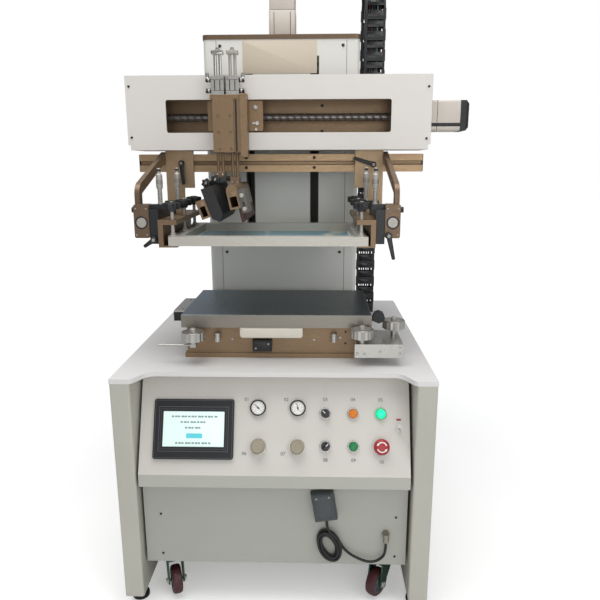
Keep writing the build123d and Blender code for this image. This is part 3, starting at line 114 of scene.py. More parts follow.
# Materials
class Finish:
    """A material under way: its tree, its shader and its coordinates in metres."""

    def __init__(self, name, colour, metallic, roughness, **sockets):
        self.material = bpy.data.materials.new(name)
        self.material.use_nodes = True
        self.tree = self.material.node_tree
        self.shader = self.tree.nodes["Principled BSDF"]
        self.colour = linear(colour)
        self.shader.inputs["Base Color"].default_value = self.colour
        self.shader.inputs["Metallic"].default_value = metallic
        self.shader.inputs["Roughness"].default_value = roughness
        for socket, value in sockets.items():
            self.shader.inputs[socket.replace("_", " ")].default_value = value
        self.place = add_node(self.tree, "ShaderNodeTexCoord").outputs["Object"]
        self.normal = None

    def grain(self, size, stretch=(1, 1, 1), detail=3.0):
        """Noise whose grains are size millimetres wide, drawn out by stretch."""
        scaled = add_node(
            self.tree,
            "ShaderNodeMapping",
            {"Vector": self.place, "Scale": [1 / (size * MM * s) for s in stretch]},
        ).outputs["Vector"]
        noise = add_node(
            self.tree, "ShaderNodeTexNoise", {"Vector": scaled, "Scale": 1.0, "Detail": detail}
        )
        return noise.outputs["Fac"]

    def between(self, mask, low, high, start=0.3, end=0.7):
        """Value that runs from low to high as the mask runs from start to end."""
        return add_node(
            self.tree,
            "ShaderNodeMapRange",
            {"Value": mask, "From Min": start, "From Max": end, "To Min": low, "To Max": high},
        ).outputs["Result"]

    def tint(self, mask, colour):
        """Blend the base colour towards another by a mask from 0 to 1."""
        mixed = add_node(self.tree, "ShaderNodeMix", {0: mask}, data_type="RGBA")
        base = self.shader.inputs["Base Color"]
        if base.is_linked:
            self.tree.links.new(base.links[0].from_socket, mixed.inputs[6])
        else:
            mixed.inputs[6].default_value = self.colour
        mixed.inputs[7].default_value = linear(colour)
        self.tree.links.new(mixed.outputs[2], base)

    def rough(self, mask, low, high):
        """Let the roughness run from low to high with a mask."""
        value = self.between(mask, low, high)
        self.tree.links.new(value, self.shader.inputs["Roughness"])

    def soften(self, radius):
        """Round every hard edge of the surface by a radius in millimetres."""
        self.normal = self.rounded(radius)
        self.tree.links.new(self.normal, self.shader.inputs["Normal"])

    def emboss(self, mask, height, strength=1.0):
        """Raise the surface by a mask, over a height in millimetres."""
        bump = add_node(
            self.tree,
            "ShaderNodeBump",
            {"Height": mask, "Distance": height * MM, "Strength": strength},
        )
        if self.normal is not None:
            self.tree.links.new(self.normal, bump.inputs["Normal"])
        self.normal = bump.outputs["Normal"]
        self.tree.links.new(self.normal, self.shader.inputs["Normal"])

    def rounded(self, radius):
        """Direction of the surface with its hard edges rounded by a radius in millimetres."""
        bevel = add_node(self.tree, "ShaderNodeBevel", {"Radius": radius * MM}, samples=4)
        return bevel.outputs["Normal"]

    def worn_edges(self, colour, radius, amount):
        """Show another colour where the surface bends sharply, as on a rubbed edge."""
        rounded = self.rounded(radius)
        flat = add_node(self.tree, "ShaderNodeNewGeometry").outputs["Normal"]
        alike = self.maths("VectorMath", "DOT_PRODUCT", rounded, flat)
        edge = self.between(alike, amount, 0.0, 0.8, 0.98)
        self.tint(edge, colour)

    def maths(self, kind, operation, *values, output="Value"):
        """Result of a Math or VectorMath node."""
        inputs = dict(enumerate(values))
        made = add_node(self.tree, f"ShaderNode{kind}", inputs, operation=operation)
        return made.outputs[output]

    def part(self, vector, axis):
        """One part, X, Y or Z, of a vector."""
        return add_node(self.tree, "ShaderNodeSeparateXYZ", {"Vector": vector}).outputs[axis]

    def upright(self):
        """Z part of the surface's own direction: 1 on level tops, 0 on walls."""
        return self.part(add_node(self.tree, "ShaderNodeNewGeometry").outputs["Normal"], "Z")


def sprayed(name, colour, shade, roughness=0.42):
    """Sprayed and baked coat on sheet steel, not yet finished as a material."""
    coat = Finish(name, colour, 0.0, roughness, Coat_Weight=0.15, Coat_Roughness=0.28)
    coat.soften(1.2)
    coat.tint(coat.between(coat.grain(220, detail=4.0), 0.0, 0.35), shade)
    coat.rough(coat.grain(35), roughness - 0.06, roughness + 0.08)
    coat.emboss(coat.grain(2.2, detail=1.0), 0.05, 0.35)
    return coat


def powder_coat(*looks):
    """Powder-coated sheet steel: satin, with a fine orange peel and faint handling marks."""
    return sprayed(*looks).material


def panel_coat():
    """Pale satin panel sheet whose upright faces, such as the rail under it, are darkened as
    painted shade.
    """
    coat = sprayed("panel_powder_coat", "#CFCBC4", "#C4C0B9")
    # Painted shade: faces that stand upright take a darker grey
    coat.tint(coat.between(coat.upright(), 1.0, 0.0, 0.15, 0.25), "#B4B4AA")
    return coat.material


def anodised(name, colour, shade, along=(14, 1, 1), roughness=0.38):
    """Brushed aluminium under a coloured anodised skin: a soft metal glow with fine lines."""
    skin = Finish(name, colour, 0.55, roughness)
    skin.soften(0.6)
    lines = skin.grain(0.9, along)
    skin.tint(skin.between(lines, 0.0, 0.5), shade)
    skin.tint(skin.between(skin.grain(90), 0.0, 0.25), shade)
    skin.rough(lines, roughness - 0.08, roughness + 0.12)
    skin.emboss(lines, 0.02, 0.4)
    skin.worn_edges("#C9BBA4", 0.8, 0.5)
    return skin.material


def bare_metal(name, colour, shade, along=(10, 1, 1), roughness=0.3, grain=0.8):
    """Machined bare metal: bright, with tool lines along one direction."""
    metal = Finish(name, colour, 0.9, roughness)
    metal.soften(0.5)
    lines = metal.grain(grain, along)
    metal.tint(metal.between(lines, 0.0, 0.6), shade)
    metal.rough(lines, roughness - 0.08, roughness + 0.12)
    metal.emboss(lines, 0.02, 0.35)
    return metal.material


def chrome(name, colour="#BDBCB9"):
    """Bright chromium plate: a near mirror with faint smears."""
    plate = Finish(name, colour, 1.0, 0.2)
    plate.soften(0.4)
    plate.rough(plate.grain(12), 0.16, 0.28)
    return plate.material


def moulded(name, colour, shade, roughness=0.45, grain=0.7):
    """Moulded plastic: even colour, the fine spark-eroded grain of its mould."""
    plastic = Finish(name, colour, 0.0, roughness)
    plastic.soften(0.5)
    plastic.tint(plastic.between(plastic.grain(40), 0.0, 0.3), shade)
    plastic.rough(plastic.grain(8), roughness - 0.06, roughness + 0.08)
    plastic.emboss(plastic.grain(grain, detail=1.0), 0.03, 0.3)
    return plastic.material


def rubber(name, colour, shade, roughness=0.62):
    """Cured rubber: matt, slightly mottled, with dust in its pores."""
    skin = Finish(name, colour, 0.0, roughness)
    skin.soften(0.8)
    skin.tint(skin.between(skin.grain(6), 0.0, 0.5), shade)
    skin.rough(skin.grain(3), roughness - 0.05, roughness + 0.12)
    skin.emboss(skin.grain(1.2), 0.08, 0.4)
    return skin.material


def printed(name, colour, shade, roughness=0.5):
    """Printing ink or a painted mark: flat colour, a little uneven in its cover."""
    ink = Finish(name, colour, 0.0, roughness)
    ink.tint(ink.between(ink.grain(3), 0.0, 0.35), shade)
    ink.rough(ink.grain(1.5), roughness - 0.08, roughness + 0.08)
    return ink.material


def lit(name, colour, shade, strength):
    """Lens or display with a lamp behind it: it glows evenly under a smooth front."""
    light = {"Emission_Color": linear(colour), "Emission_Strength": strength}
    glow = Finish(name, colour, 0.0, 0.18, **light)
    glow.tint(glow.between(glow.grain(30), 0.0, 0.3), shade)
    glow.rough(glow.grain(20), 0.12, 0.24)
    return glow.material


# Across the platen, from its left edge, in metres: where a painted reflection of the pale room
# lightens its top
GLEAM_START = -0.31
GLEAM_END = -0.12


def ground_plate():
    """Ground tool steel: top darker than its brushed rim, as a painted reflection of the machine.
    """
    steel = Finish("ground_steel", "#5E6467", 0.85, 0.34)
    steel.soften(0.6)
    lines = steel.grain(0.7, (18, 1, 1))
    steel.tint(steel.between(lines, 0.0, 0.6), "#484E50")
    steel.tint(steel.between(steel.grain(160, detail=2.0), 0.0, 0.3), "#6B747B")
    across = steel.part(steel.place, "X")
    # Painted reflection of the pale room: lighter towards the platen's left edge
    steel.tint(steel.between(across, 0.8, 0.0, GLEAM_START, GLEAM_END), "#93A3B2")
    # Painted reflection: walls lighter and top darker
    steel.tint(steel.between(steel.upright(), 1.0, 0.0, 0.2, 0.6), "#8F8A81")
    steel.rough(lines, 0.26, 0.46)
    steel.emboss(lines, 0.02, 0.35)
    return steel.material


# Middle of the printing screen, X and Y in drawing millimetres, and half the size of its
# stencil field in metres
SCREEN_MIDDLE = (-14.0, 285.0)
STENCIL_HALVES = {"X": 0.209, "Y": 0.149}
STENCIL_FADE = 0.002


def mesh_fabric():
    """Printing mesh: woven threads with a sheen, a teal stencil field inside a pale border."""
    cloth = Finish("screen_mesh_fabric", "#D9DAD2", 0.0, 0.5, Sheen_Weight=0.3)
    middle = (*at(*SCREEN_MIDDLE, 0)[:2], 0)
    away = cloth.maths("VectorMath", "SUBTRACT", cloth.place, middle, output="Vector")
    inside = []
    for axis, half in STENCIL_HALVES.items():
        reach = cloth.maths("Math", "ABSOLUTE", cloth.part(away, axis))
        inside.append(cloth.between(reach, 1.0, 0.0, half - STENCIL_FADE, half + STENCIL_FADE))
    cloth.tint(cloth.maths("Math", "MULTIPLY", *inside), "#437A87")
    cloth.tint(cloth.between(cloth.grain(60), 0.0, 0.35), "#5F929C")
    cloth.tint(cloth.between(cloth.grain(75, (1, 3, 1), 1.0), 0.0, 0.7, 0.58, 0.66), "#C9C4AC")
    cloth.rough(cloth.grain(5), 0.42, 0.6)
    cloth.emboss(cloth.grain(0.6, detail=0.0), 0.02, 0.3)
    return cloth.material


def matt_alloy(name, colour, shade):
    """Extruded aluminium left matt: pale, half metal, with drawing lines along its bars."""
    alloy = Finish(name, colour, 0.35, 0.42)
    alloy.soften(0.8)
    lines = alloy.grain(1.0, (12, 12, 1))
    alloy.tint(alloy.between(lines, 0.0, 0.5), shade)
    alloy.rough(lines, 0.34, 0.5)
    alloy.emboss(lines, 0.02, 0.3)
    return alloy.material


cabinet_paint = powder_coat("cabinet_powder_coat", "#BBB9AE", "#AEACA0")
# Painted shade: the cabinet body's recessed lower panel takes a darker copy of the cabinet's coat
shaded_body_paint = powder_coat("body_powder_coat_shaded", "#ABACA3", "#9FA097")
table_paint = powder_coat("table_powder_coat", "#E0DEDC", "#D5D3D2")
panel_paint = panel_coat()
cover_paint = powder_coat("cover_powder_coat", "#DFDAD4", "#D3CEC8")
# Painted light: the column's coat lightened against the shade that the print head casts on it
lit_column_paint = powder_coat("column_powder_coat_lit", "#D9D9D4", "#CDCEC9")
bronze_long = anodised("bronze_anodised_long", "#9A8165", "#7F6A52")
bronze_up = anodised("bronze_anodised_upright", "#947A5D", "#78634B", (1, 1, 14))
bronze_deep = anodised("bronze_anodised_deep", "#8B7359", "#6F5B46", (1, 14, 1))
# Painted light: lighter copies of the anodised bronze for the cross rail and the hanger plates
bronze_lit_rail = anodised("bronze_anodised_lit_rail", "#BFA17D", "#A1876A")
bronze_lit_hangers = anodised("bronze_anodised_lit_hangers", "#BAA080", "#9E8669", (1, 1, 14))
bronze_dark = anodised("bronze_anodised_dark", "#7C6752", "#635142")
aluminium_long = bare_metal("milled_aluminium_long", "#C9C7C2", "#B2B0AB")
aluminium_up = bare_metal("milled_aluminium_upright", "#C4C1BB", "#ABA8A2", (1, 1, 10))
aluminium_deep = bare_metal("milled_aluminium_deep", "#C6C4BF", "#B0ADA7", (1, 10, 1))
ground_steel = ground_plate()
bright_steel = chrome("bright_steel")
screw_steel = bare_metal("rolled_ball_screw", "#8B8986", "#716F6C", (8, 1, 1), 0.3)
motor_alloy = moulded("cast_motor_alloy", "#CBC2B8", "#BDB4AA", 0.4)
black_plastic = moulded("black_plastic", "#17181A", "#222427")
black_gloss = moulded("black_gloss_plastic", "#111214", "#191B1D", 0.22, 4.0)
bezel_grey = moulded("grey_bezel_line", "#5B5F64", "#4C5055", 0.4)
soft_black = moulded("black_oxide_steel", "#1D1E20", "#2A2B2E", 0.4)
cream_plastic = moulded("cream_plastic", "#A19884", "#928A77", 0.5)
orange_plastic = moulded("orange_plastic", "#D97A18", "#C76C10", 0.3)
green_plastic = moulded("dark_green_plastic", "#0F7B44", "#0B6A38", 0.3)
red_plastic = moulded("red_plastic", "#A52A30", "#8F2026", 0.3)
tab_plastic = moulded("cream_tab_plastic", "#D8D2C4", "#CBC5B6", 0.5)
wheel_rubber = rubber("maroon_polyurethane", "#431A1E", "#522426", 0.42)
cable_rubber = rubber("cable_rubber", "#141415", "#1F2021", 0.5)
feet_rubber = rubber("foot_rubber", "#191A1B", "#242526")
blade_rubber = rubber("red_brown_blade", "#43201B", "#4F2A23", 0.5)
black_blade = rubber("black_blade", "#1B1B1D", "#28282A", 0.48)
fork_zinc = bare_metal("green_zinc_steel", "#4A665A", "#394F46", (1, 1, 2), 0.4, 4.0)
hub_grey = moulded("grey_nylon_hub", "#55585A", "#484B4D", 0.45)
switch_paint = powder_coat("switch_grey_paint", "#42474A", "#383D3F", 0.5)
brass = bare_metal("nickel_brass", "#9A958A", "#827D72", (1, 1, 3), 0.3)
dial_white = printed("white_dial_enamel", "#EDEBE4", "#E2E0D8", 0.3)
print_black = printed("black_print", "#1A1A1B", "#262627")
print_white = printed("white_print", "#E9E9E6", "#DEDEDA")
print_grey = printed("grey_print", "#3F4244", "#4C4F51")
plaque_metal = printed("sand_etched_plaque", "#CBC0AE", "#BDB29F", 0.4)
display_light = lit("display_light", "#CFE4DD", "#C3DAD3", 0.42)
display_grey = printed("display_print", "#92A6A6", "#84989A")
display_cyan = lit("display_touch_field", "#5FC3CE", "#52B5C0", 0.3)
lamp_glow = lit("green_lamp_glow", "#08F092", "#12E08A", 1.1)
seam_grey = printed("cover_seam", "#6F706C", "#7C7D78")
# Dark grey of the column's slots: partly their black guide covers, partly painted shade of the
# deep slots
slot_cover_and_shade_grey = printed("slot_cover_and_painted_shade", "#77736F", "#6B6865", 0.7)
screw_groove = printed("ball_screw_groove", "#5A4C43", "#4A3F38", 0.35)
adjuster_grey = powder_coat("adjuster_grey_paint", "#5C5A55", "#504E4A", 0.45)
wire_red = rubber("red_wire", "#662021", "#742B2A", 0.45)
wire_green = rubber("green_wire", "#1D3B29", "#284834", 0.45)
wire_blue = rubber("blue_wire", "#222F4A", "#2C3B58", 0.45)
wire_white = rubber("white_wire", "#77756F", "#6B6963", 0.45)
mesh_cloth = mesh_fabric()
frame_alloy = matt_alloy("extruded_screen_frame", "#C3BFB6", "#AFABA2")
satin_chrome = matt_alloy("satin_chrome", "#B4AFA7", "#9E9A93")


# Finishes of the solids
NODE_FINISHES = (
    (shaded_body_paint, "cabinet_body"),
    (cabinet_paint, "side_panels"),
    (table_paint, "table_top"),
    (panel_paint, "control_panel"),
    (
        black_plastic,
        "touch_screen pressure_gauges upper_selector lower_selector platen_stops cable_chain "
        "frame_clamps",
    ),
    (bright_steel, "panel_bezels toggle_lever height_micrometers"),
    (green_plastic, "power_lamp start_button"),
    (orange_plastic, "orange_button"),
    (red_plastic, "emergency_stop"),
    (cream_plastic, "left_regulator_knob right_regulator_knob"),
    (feet_rubber, "levelling_feet"),
    (switch_paint, "foot_switch"),
    (brass, "cable_gland"),
    (bronze_long, "platen_base beam_spine"),
    (ground_steel, "platen"),
    (aluminium_long, "platen_fittings"),
    (aluminium_up, "platen_handwheels lift_cylinders"),
    (lit_column_paint, "column_body"),
    (bronze_dark, "column_top_plate arm_braces arm_end_blocks"),
    (motor_alloy, "lift_motor beam_motor"),
    (cover_paint, "beam_cover"),
    (soft_black, "lift_arms arm_slides"),
    (screw_steel, "ball_screw"),
    # Cross rail: bronze lightened as painted light
    (bronze_lit_rail, "cross_rail"),
    (bronze_up, "carriage_plate carriage_bracket"),
    (bronze_deep, "squeegee_holder flood_bar_holder screen_arms"),
    (black_blade, "squeegee_blade"),
    (blade_rubber, "flood_bar_blade"),
    (frame_alloy, "screen_frame"),
    (cable_rubber, "screen_mesh"),
    # Hanger plates: bronze lightened as painted light
    (bronze_lit_hangers, "hanger_plates"),
)
CORNERS = ("front_left", "front_right", "rear_left", "rear_right")


def dress_solids():
    """Give every solid its finish."""
    forks = " ".join(f"{corner}_caster_fork" for corner in CORNERS)
    wheels = " ".join(f"{corner}_caster_wheel" for corner in CORNERS)
    for finish, names in (*NODE_FINISHES, (fork_zinc, forks), (wheel_rubber, wheels)):
        for name in names.split():
            node[name].data.materials.clear()
            node[name].data.materials.append(finish)


dress_solids()


# Foot switch cable: from the gland along the lower panel, round the coil and up to the
# switch, X and Z in drawing millimetres in front of the lower panel
CABLE_DIAMETER = 7.0
CABLE_Y = 19.0
CABLE_ROUTE = (
    (289.0, 200.0), (289.0, 169.5), (278.6, 151.4), (260.5, 141.0), (239.5, 141.0), (214.0, 152.0),
    (190.0, 167.0),
)
SWITCH_APPROACH = (134.8, 246.0)
SWITCH_EXIT = (133.9, 263.5)
COIL_CENTRE = (140.5, 187.5)
COIL_HALF_WIDTH = 33.0
COIL_HALF_HEIGHT = 50.5
COIL_TILT = math.radians(22.0)
COIL_TURNS = 2
COIL_STEP = 7.6
INMOST_STEPS = 1.6
COIL_POINTS = 16
COIL_ENTRY_ANGLE = math.radians(-12.0)
LAYER_GAP = 7.8
LOOSENESS = 0.4


def coil_point(angle, inset, depth):
    """Point of the coil at an angle, inside its outer turn by inset, at a depth in Y."""
    u = (COIL_HALF_WIDTH - CABLE_DIAMETER / 2 - inset) * math.cos(angle)
    v = (COIL_HALF_HEIGHT - CABLE_DIAMETER / 2 - inset) * math.sin(angle)
    x = COIL_CENTRE[0] + u * math.cos(COIL_TILT) - v * math.sin(COIL_TILT)
    z = COIL_CENTRE[1] + u * math.sin(COIL_TILT) + v * math.cos(COIL_TILT)
    return at(x, depth, z)


def coil_turns():
    """Points of the coil: turns inward at the back, then outward in front of them."""
    points = []
    step = 2 * math.pi / COIL_POINTS
    steps = COIL_TURNS * COIL_POINTS
    back = CABLE_Y + LAYER_GAP / 2
    for i in range(steps + 1):
        angle = COIL_ENTRY_ANGLE + i * step
        inset = min(COIL_STEP * i / COIL_POINTS, COIL_STEP * INMOST_STEPS)
        points.append(coil_point(angle, inset + LOOSENESS * math.sin(2.3 * i), back))
    for i in range(2, steps + COIL_POINTS // 4):
        angle = COIL_ENTRY_ANGLE + (steps + i) * step
        inset = COIL_STEP * max(min(INMOST_STEPS, COIL_TURNS - i / COIL_POINTS), 0)
        inset += LOOSENESS * math.sin(1.9 * i)
        points.append(coil_point(angle, inset, back - LAYER_GAP))
    return points


def add_cable():
    """Make the foot switch cable as one smooth line of round section."""
    points = [at(x, CABLE_Y, z) for x, z in CABLE_ROUTE] + coil_turns()
    points.append(at(SWITCH_APPROACH[0], CABLE_Y - LAYER_GAP / 2, SWITCH_APPROACH[1]))
    points.append(at(SWITCH_EXIT[0], CABLE_Y, SWITCH_EXIT[1]))
    curve = bpy.data.curves.new("foot_switch_cord", "CURVE")
    curve.dimensions = "3D"
    curve.bevel_depth = CABLE_DIAMETER / 2 * MM
    curve.bevel_resolution = 4
    spline = curve.splines.new("NURBS")
    spline.points.add(len(points) - 1)
    for point, place in zip(spline.points, points):
        point.co = (*place, 1.0)
    spline.order_u = 3
    spline.use_endpoint_u = True
    cable = add_object("foot_switch_cord", curve)
    curve.materials.append(cable_rubber)
    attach(cable, "cabinet")
    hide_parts("foot_switch_cable", "cable_coil")


add_cable()


# Places: points with directions of their own, in drawing millimetres
def facing(point, ahead, across=(1, 0, 0)):
    """Place at a point, its Z along ahead and its X along across."""
    z = Vector(ahead).normalized()
    x = Vector(across) - z * z.dot(Vector(across))
    x.normalize()
    turned = Matrix((x, z.cross(x), z)).transposed()
    return Matrix.Translation(point) @ turned.to_4x4()


def upward(x, y, z):
    """Place on a level face, its Z up."""
    return facing(at(x, y, z), (0, 0, 1))


def frontward(x, y, z):
    """Place on a face towards the operator, its Y up."""
    return facing(at(x, y, z), (0, -1, 0))


def sideward(x, y, z, hand):
    """Place on a face to the right, hand 1, or to the left, hand -1, its Y up."""
    return facing(at(x, y, z), (hand, 0, 0), (0, hand, 0))


def shifted(place, x=0.0, y=0.0, z=0.0):
    """A place moved along its own axes by millimetres."""
    return place @ Matrix.Translation((x * MM, y * MM, z * MM))


def twisted(place, degrees):
    """A place turned about its own Z."""
    return place @ Matrix.Rotation(math.radians(degrees), 4, "Z")


# Shapes: solids are made by mesh operators in millimetres and then set in their place
BEVEL = {"offset_type": "OFFSET", "profile": 0.5, "material": -1}
SHARP_ANGLE = math.radians(32)


def extruded(solid, faces, height):
    """Extrude some faces of a solid upwards and give the faces at the new end."""
    risen = bmesh.ops.extrude_face_region(solid, geom=faces)["geom"]
    top = [item for item in risen if isinstance(item, bmesh.types.BMVert)]
    bmesh.ops.translate(solid, verts=top, vec=(0, 0, height))
    return [item for item in risen if isinstance(item, bmesh.types.BMFace)]


class Shape:
    """A piece under way, gathered from closed solids."""

    def __init__(self):
        self.solids = bmesh.new()

    def add(self, solid, place):
        """Close a solid, turn its faces outwards and add it at a place."""
        bmesh.ops.remove_doubles(solid, verts=solid.verts, dist=0.001)
        bmesh.ops.recalc_face_normals(solid, faces=solid.faces)
        bmesh.ops.transform(solid, matrix=place @ Matrix.Scale(MM, 4), verts=solid.verts)
        mesh = bpy.data.meshes.new("solid")
        solid.to_mesh(mesh)
        solid.free()
        self.solids.from_mesh(mesh)
        bpy.data.meshes.remove(mesh)

    def raise_faces(self, solid, place, height, bevel):
        """Raise flat faces to a height and soften both of their rims."""
        extruded(solid, list(solid.faces), height)
        if bevel:
            rims = [
                edge
                for edge in solid.edges
                if abs(edge.verts[0].co.z - edge.verts[1].co.z) < 0.001 and not edge.is_boundary
            ]
            bmesh.ops.bevel(solid, geom=rims, offset=bevel, segments=2, affect="EDGES", **BEVEL)
        self.add(solid, place)

    def prism(self, place, outline, height, corner=0.0, bevel=0.3):
        """Raise a flat outline of X and Y pairs to a height, its corners rounded."""
        solid = bmesh.new()
        corners = [solid.verts.new((x, y, 0)) for x, y in outline]
        solid.faces.new(corners)
        if corner:
            bmesh.ops.bevel(
                solid, geom=corners, offset=corner, segments=4, affect="VERTICES", **BEVEL
            )
        self.raise_faces(solid, place, height, bevel)

    def plate(self, place, width, depth, height, corner=0.0, bevel=0.3):
        """Add a plate, its base centred on the place."""
        x = width / 2
        y = depth / 2
        self.prism(place, ((-x, -y), (x, -y), (x, y), (-x, y)), height, corner, bevel)

    def border(self, place, width, depth, line, height, bevel=0.0):
        """Add a rectangular border of an outer width and depth and a line width."""
        solid = bmesh.new()
        bmesh.ops.create_grid(solid, x_segments=1, y_segments=1, size=0.5)
        bmesh.ops.scale(solid, verts=solid.verts, vec=(width, depth, 1))
        whole = list(solid.faces)
        bmesh.ops.inset_region(
            solid, faces=whole, thickness=line, use_boundary=True, use_even_offset=True
        )
        bmesh.ops.delete(solid, geom=whole, context="FACES")
        self.raise_faces(solid, place, height, bevel)

    def turned(self, place, profile, steps=32, sweep=360.0, climb=0.0):
        """Spin a profile of radius and height pairs about the place's Z, climbing as it turns."""
        solid = bmesh.new()
        points = [solid.verts.new((radius, 0, height)) for radius, height in profile]
        lines = [solid.edges.new(pair) for pair in zip(points, points[1:])]
        bmesh.ops.spin(
            solid,
            geom=points + lines,
            cent=(0, 0, 0),
            axis=(0, 0, 1),
            dvec=(0, 0, climb / steps),
            angle=math.radians(sweep),
            steps=steps,
            use_merge=sweep == 360.0 and not climb,
        )
        if sweep != 360.0 or climb:
            bmesh.ops.remove_doubles(solid, verts=solid.verts, dist=0.001)
            bmesh.ops.holes_fill(solid, edges=solid.edges)
        self.add(solid, place)

    def ring(self, place, inner, outer, low, high, bevel=0.4, steps=32):
        """Add a flat ring with softened rims between two heights."""
        profile = (
            (inner, low), (outer, low), (outer, high - bevel), (outer - bevel, high),
            (inner + bevel, high), (inner, high - bevel), (inner, low),
        )
        self.turned(place, profile, steps)

    def disc(self, place, radius, low, high, bevel=0.4, steps=32):
        """Add a round disc with a softened rim between two heights."""
        rim = ((radius, low), (radius, high - bevel), (radius - bevel, high))
        self.turned(place, ((0, low), *rim, (0, high)), steps)

    def lobed(self, place, diameter, lobes, depth, height, bevel=2.0):
        """Add a star knob whose rim runs in and out."""
        solid = bmesh.new()
        radius = (diameter - depth) / 2
        rim = bmesh.ops.create_circle(solid, cap_ends=True, radius=radius, segments=lobes * 6)
        for vert in rim["verts"]:
            vert.co *= 1 + depth / diameter * math.cos(lobes * math.atan2(vert.co.y, vert.co.x))
        self.raise_faces(solid, place, height, bevel)

    def screw(self, place, diameter, height=None):
        """Add a socket screw's head standing on the place."""
        r = diameter / 2
        h = height or r
        rim = ((r, 0), (r, 0.7 * h), (0.85 * r, h), (0.55 * r, h), (0.45 * r, 0.4 * h))
        self.turned(place, ((0, 0), *rim, (0, 0.4 * h)), 16)

    def front_screws(self, y, places, diameter, height):
        """Add screws at X and Z places on a face towards the operator."""
        for x, z in places:
            self.screw(frontward(x, y, z), diameter, height)

    def figures(self, place, text, size, height=0.25):
        """Add printed or engraved figures centred on the place."""
        curve = bpy.data.curves.new("figures", "FONT")
        curve.body = text
        curve.size = size
        curve.extrude = height / 2
        curve.resolution_u = 3
        curve.align_x = "CENTER"
        curve.align_y = "CENTER"
        letters = bpy.data.objects.new("figures", curve)
        mesh = bpy.data.meshes.new_from_object(letters)
        solid = bmesh.new()
        solid.from_mesh(mesh)
        bpy.data.objects.remove(letters)
        bpy.data.curves.remove(curve)
        bpy.data.meshes.remove(mesh)
        self.add(solid, shifted(place, z=height / 2))

    def keep(self, name, finish, slot, body, *replaced):
        """Finish the piece: give it its material and let it ride on a body."""
        mesh = bpy.data.meshes.new(name)
        self.solids.to_mesh(mesh)
        self.solids.free()
        mesh.shade_smooth()
        mesh.set_sharp_from_angle(angle=SHARP_ANGLE)
        mesh.materials.append(finish)
        piece = add_object(name, mesh)
        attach(piece, body)
        if replaced:
            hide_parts(*replaced)
        return piece


# Control panel: places on its slanted face
PANEL_LEAN = math.radians(22.4)
PANEL_FOOT_Y = 2.5
PANEL_FOOT_Z = 400.0


def on_panel(x, z, out=0.0):
    """Place on the slanted panel at a height, lifted off its face."""
    y = PANEL_FOOT_Y + (z - PANEL_FOOT_Z) * math.tan(PANEL_LEAN)
    place = facing(at(x, y, z), (0, -math.cos(PANEL_LEAN), math.sin(PANEL_LEAN)))
    return shifted(place, z=out)


SCREEN_X = -205.0
SCREEN_Z = 501.5
SCREEN_FACE = 8.0
BEZEL_LINES = ((198, 144, 0.9, 0.5), (178, 112, 1.2, 0.5), (168, 100, 0.7, 0.4))
DISPLAY_FACE = 6.5
DISPLAY_WIDTH = 156.0
DISPLAY_HEIGHT = 88.0
DISPLAY_THICKNESS = 0.7
# Rows of the display: height from its middle, first block's left edge, number of blocks
DISPLAY_ROWS = ((31.0, -57.0, 14), (17.0, -34.0, 8), (3.0, -22.0, 5), (-35.0, -46.0, 11))
BLOCK_WIDTHS = (6.4, 7.4, 5.2, 7.8, 6.0)
BLOCK_STEP = 8.4


def add_touch_screen():
    """Lines on the moulded bezel, and a lit display with blocks in place of words."""
    middle = on_panel(SCREEN_X, SCREEN_Z)
    lines = Shape()
    for width, depth, line, height in BEZEL_LINES:
        lines.border(shifted(middle, z=SCREEN_FACE), width, depth, line, height)
    lines.keep("screen_bezel_lines", bezel_grey, "screen_plastic", "cabinet")
    display = Shape()
    glass = shifted(middle, z=DISPLAY_FACE)
    display.plate(glass, DISPLAY_WIDTH, DISPLAY_HEIGHT, DISPLAY_THICKNESS, 1.0, 0.2)
    display.keep("screen_display", display_light, "screen_plastic", "cabinet")
    picture = shifted(middle, z=DISPLAY_FACE + DISPLAY_THICKNESS)
    blocks = Shape()
    for height, left, count in DISPLAY_ROWS:
        for i in range(count):
            width = BLOCK_WIDTHS[i % len(BLOCK_WIDTHS)]
            block = shifted(picture, left + i * BLOCK_STEP + width / 2, height)
            blocks.plate(block, width, 4.6, 0.15, 0.8, 0)
    blocks.keep("screen_blocks", display_grey, "screen_plastic", "cabinet")
    button = Shape()
    button.plate(shifted(picture, 2, -17), 41, 12, 0.2, 1.5, 0)
    button.keep("screen_touch_field", display_cyan, "screen_plastic", "cabinet")


GAUGE_X = (-41.8, 59.5)
GAUGE_Z = 552.0
GAUGE_FACE = 7.5
GAUGE_SWEEP = 270
GAUGE_STEPS = 30
POINTER_TURN = (48.0, 14.0)


def add_gauges():
    """Black rims, white dials with a scale from 0 to 10, and dark pointers."""
    rims, dials, marks = Shape(), Shape(), Shape()
    for x, turn in zip(GAUGE_X, POINTER_TURN):
        face = on_panel(x, GAUGE_Z, GAUGE_FACE)
        rims.ring(face, 16.8, 20.3, -1.5, 3.0, 0.9, 48)
        dials.disc(face, 16.9, 0, 0.5, 0.2, 48)
        for i in range(GAUGE_STEPS + 1):
            turned = GAUGE_SWEEP / 2 - i * GAUGE_SWEEP / GAUGE_STEPS
            tick = twisted(shifted(face, z=0.5), turned)
            width, length = (0.35, 1.8) if i % 3 else (0.7, 3.2)
            marks.plate(shifted(tick, y=15.6 - length / 2), width, length, 0.15, 0, 0)
            if i % 6 == 0:
                marks.figures(twisted(shifted(tick, y=9.6), -turned), str(i // 3), 3.8, 0.15)
        pointer = twisted(shifted(face, z=1.0), turn)
        marks.prism(pointer, ((-1.2, -5.5), (1.2, -5.5), (0.35, 13.5), (-0.35, 13.5)), 0.5, 0, 0)
        marks.disc(shifted(face, z=0.5), 2.3, 0, 1.6, 0.4, 20)
    rims.keep("gauge_rims", black_gloss, "gauge_metal", "cabinet")
    dials.keep("gauge_dials", dial_white, "gauge_metal", "cabinet")
    marks.keep("gauge_marks", print_black, "gauge_metal", "cabinet")


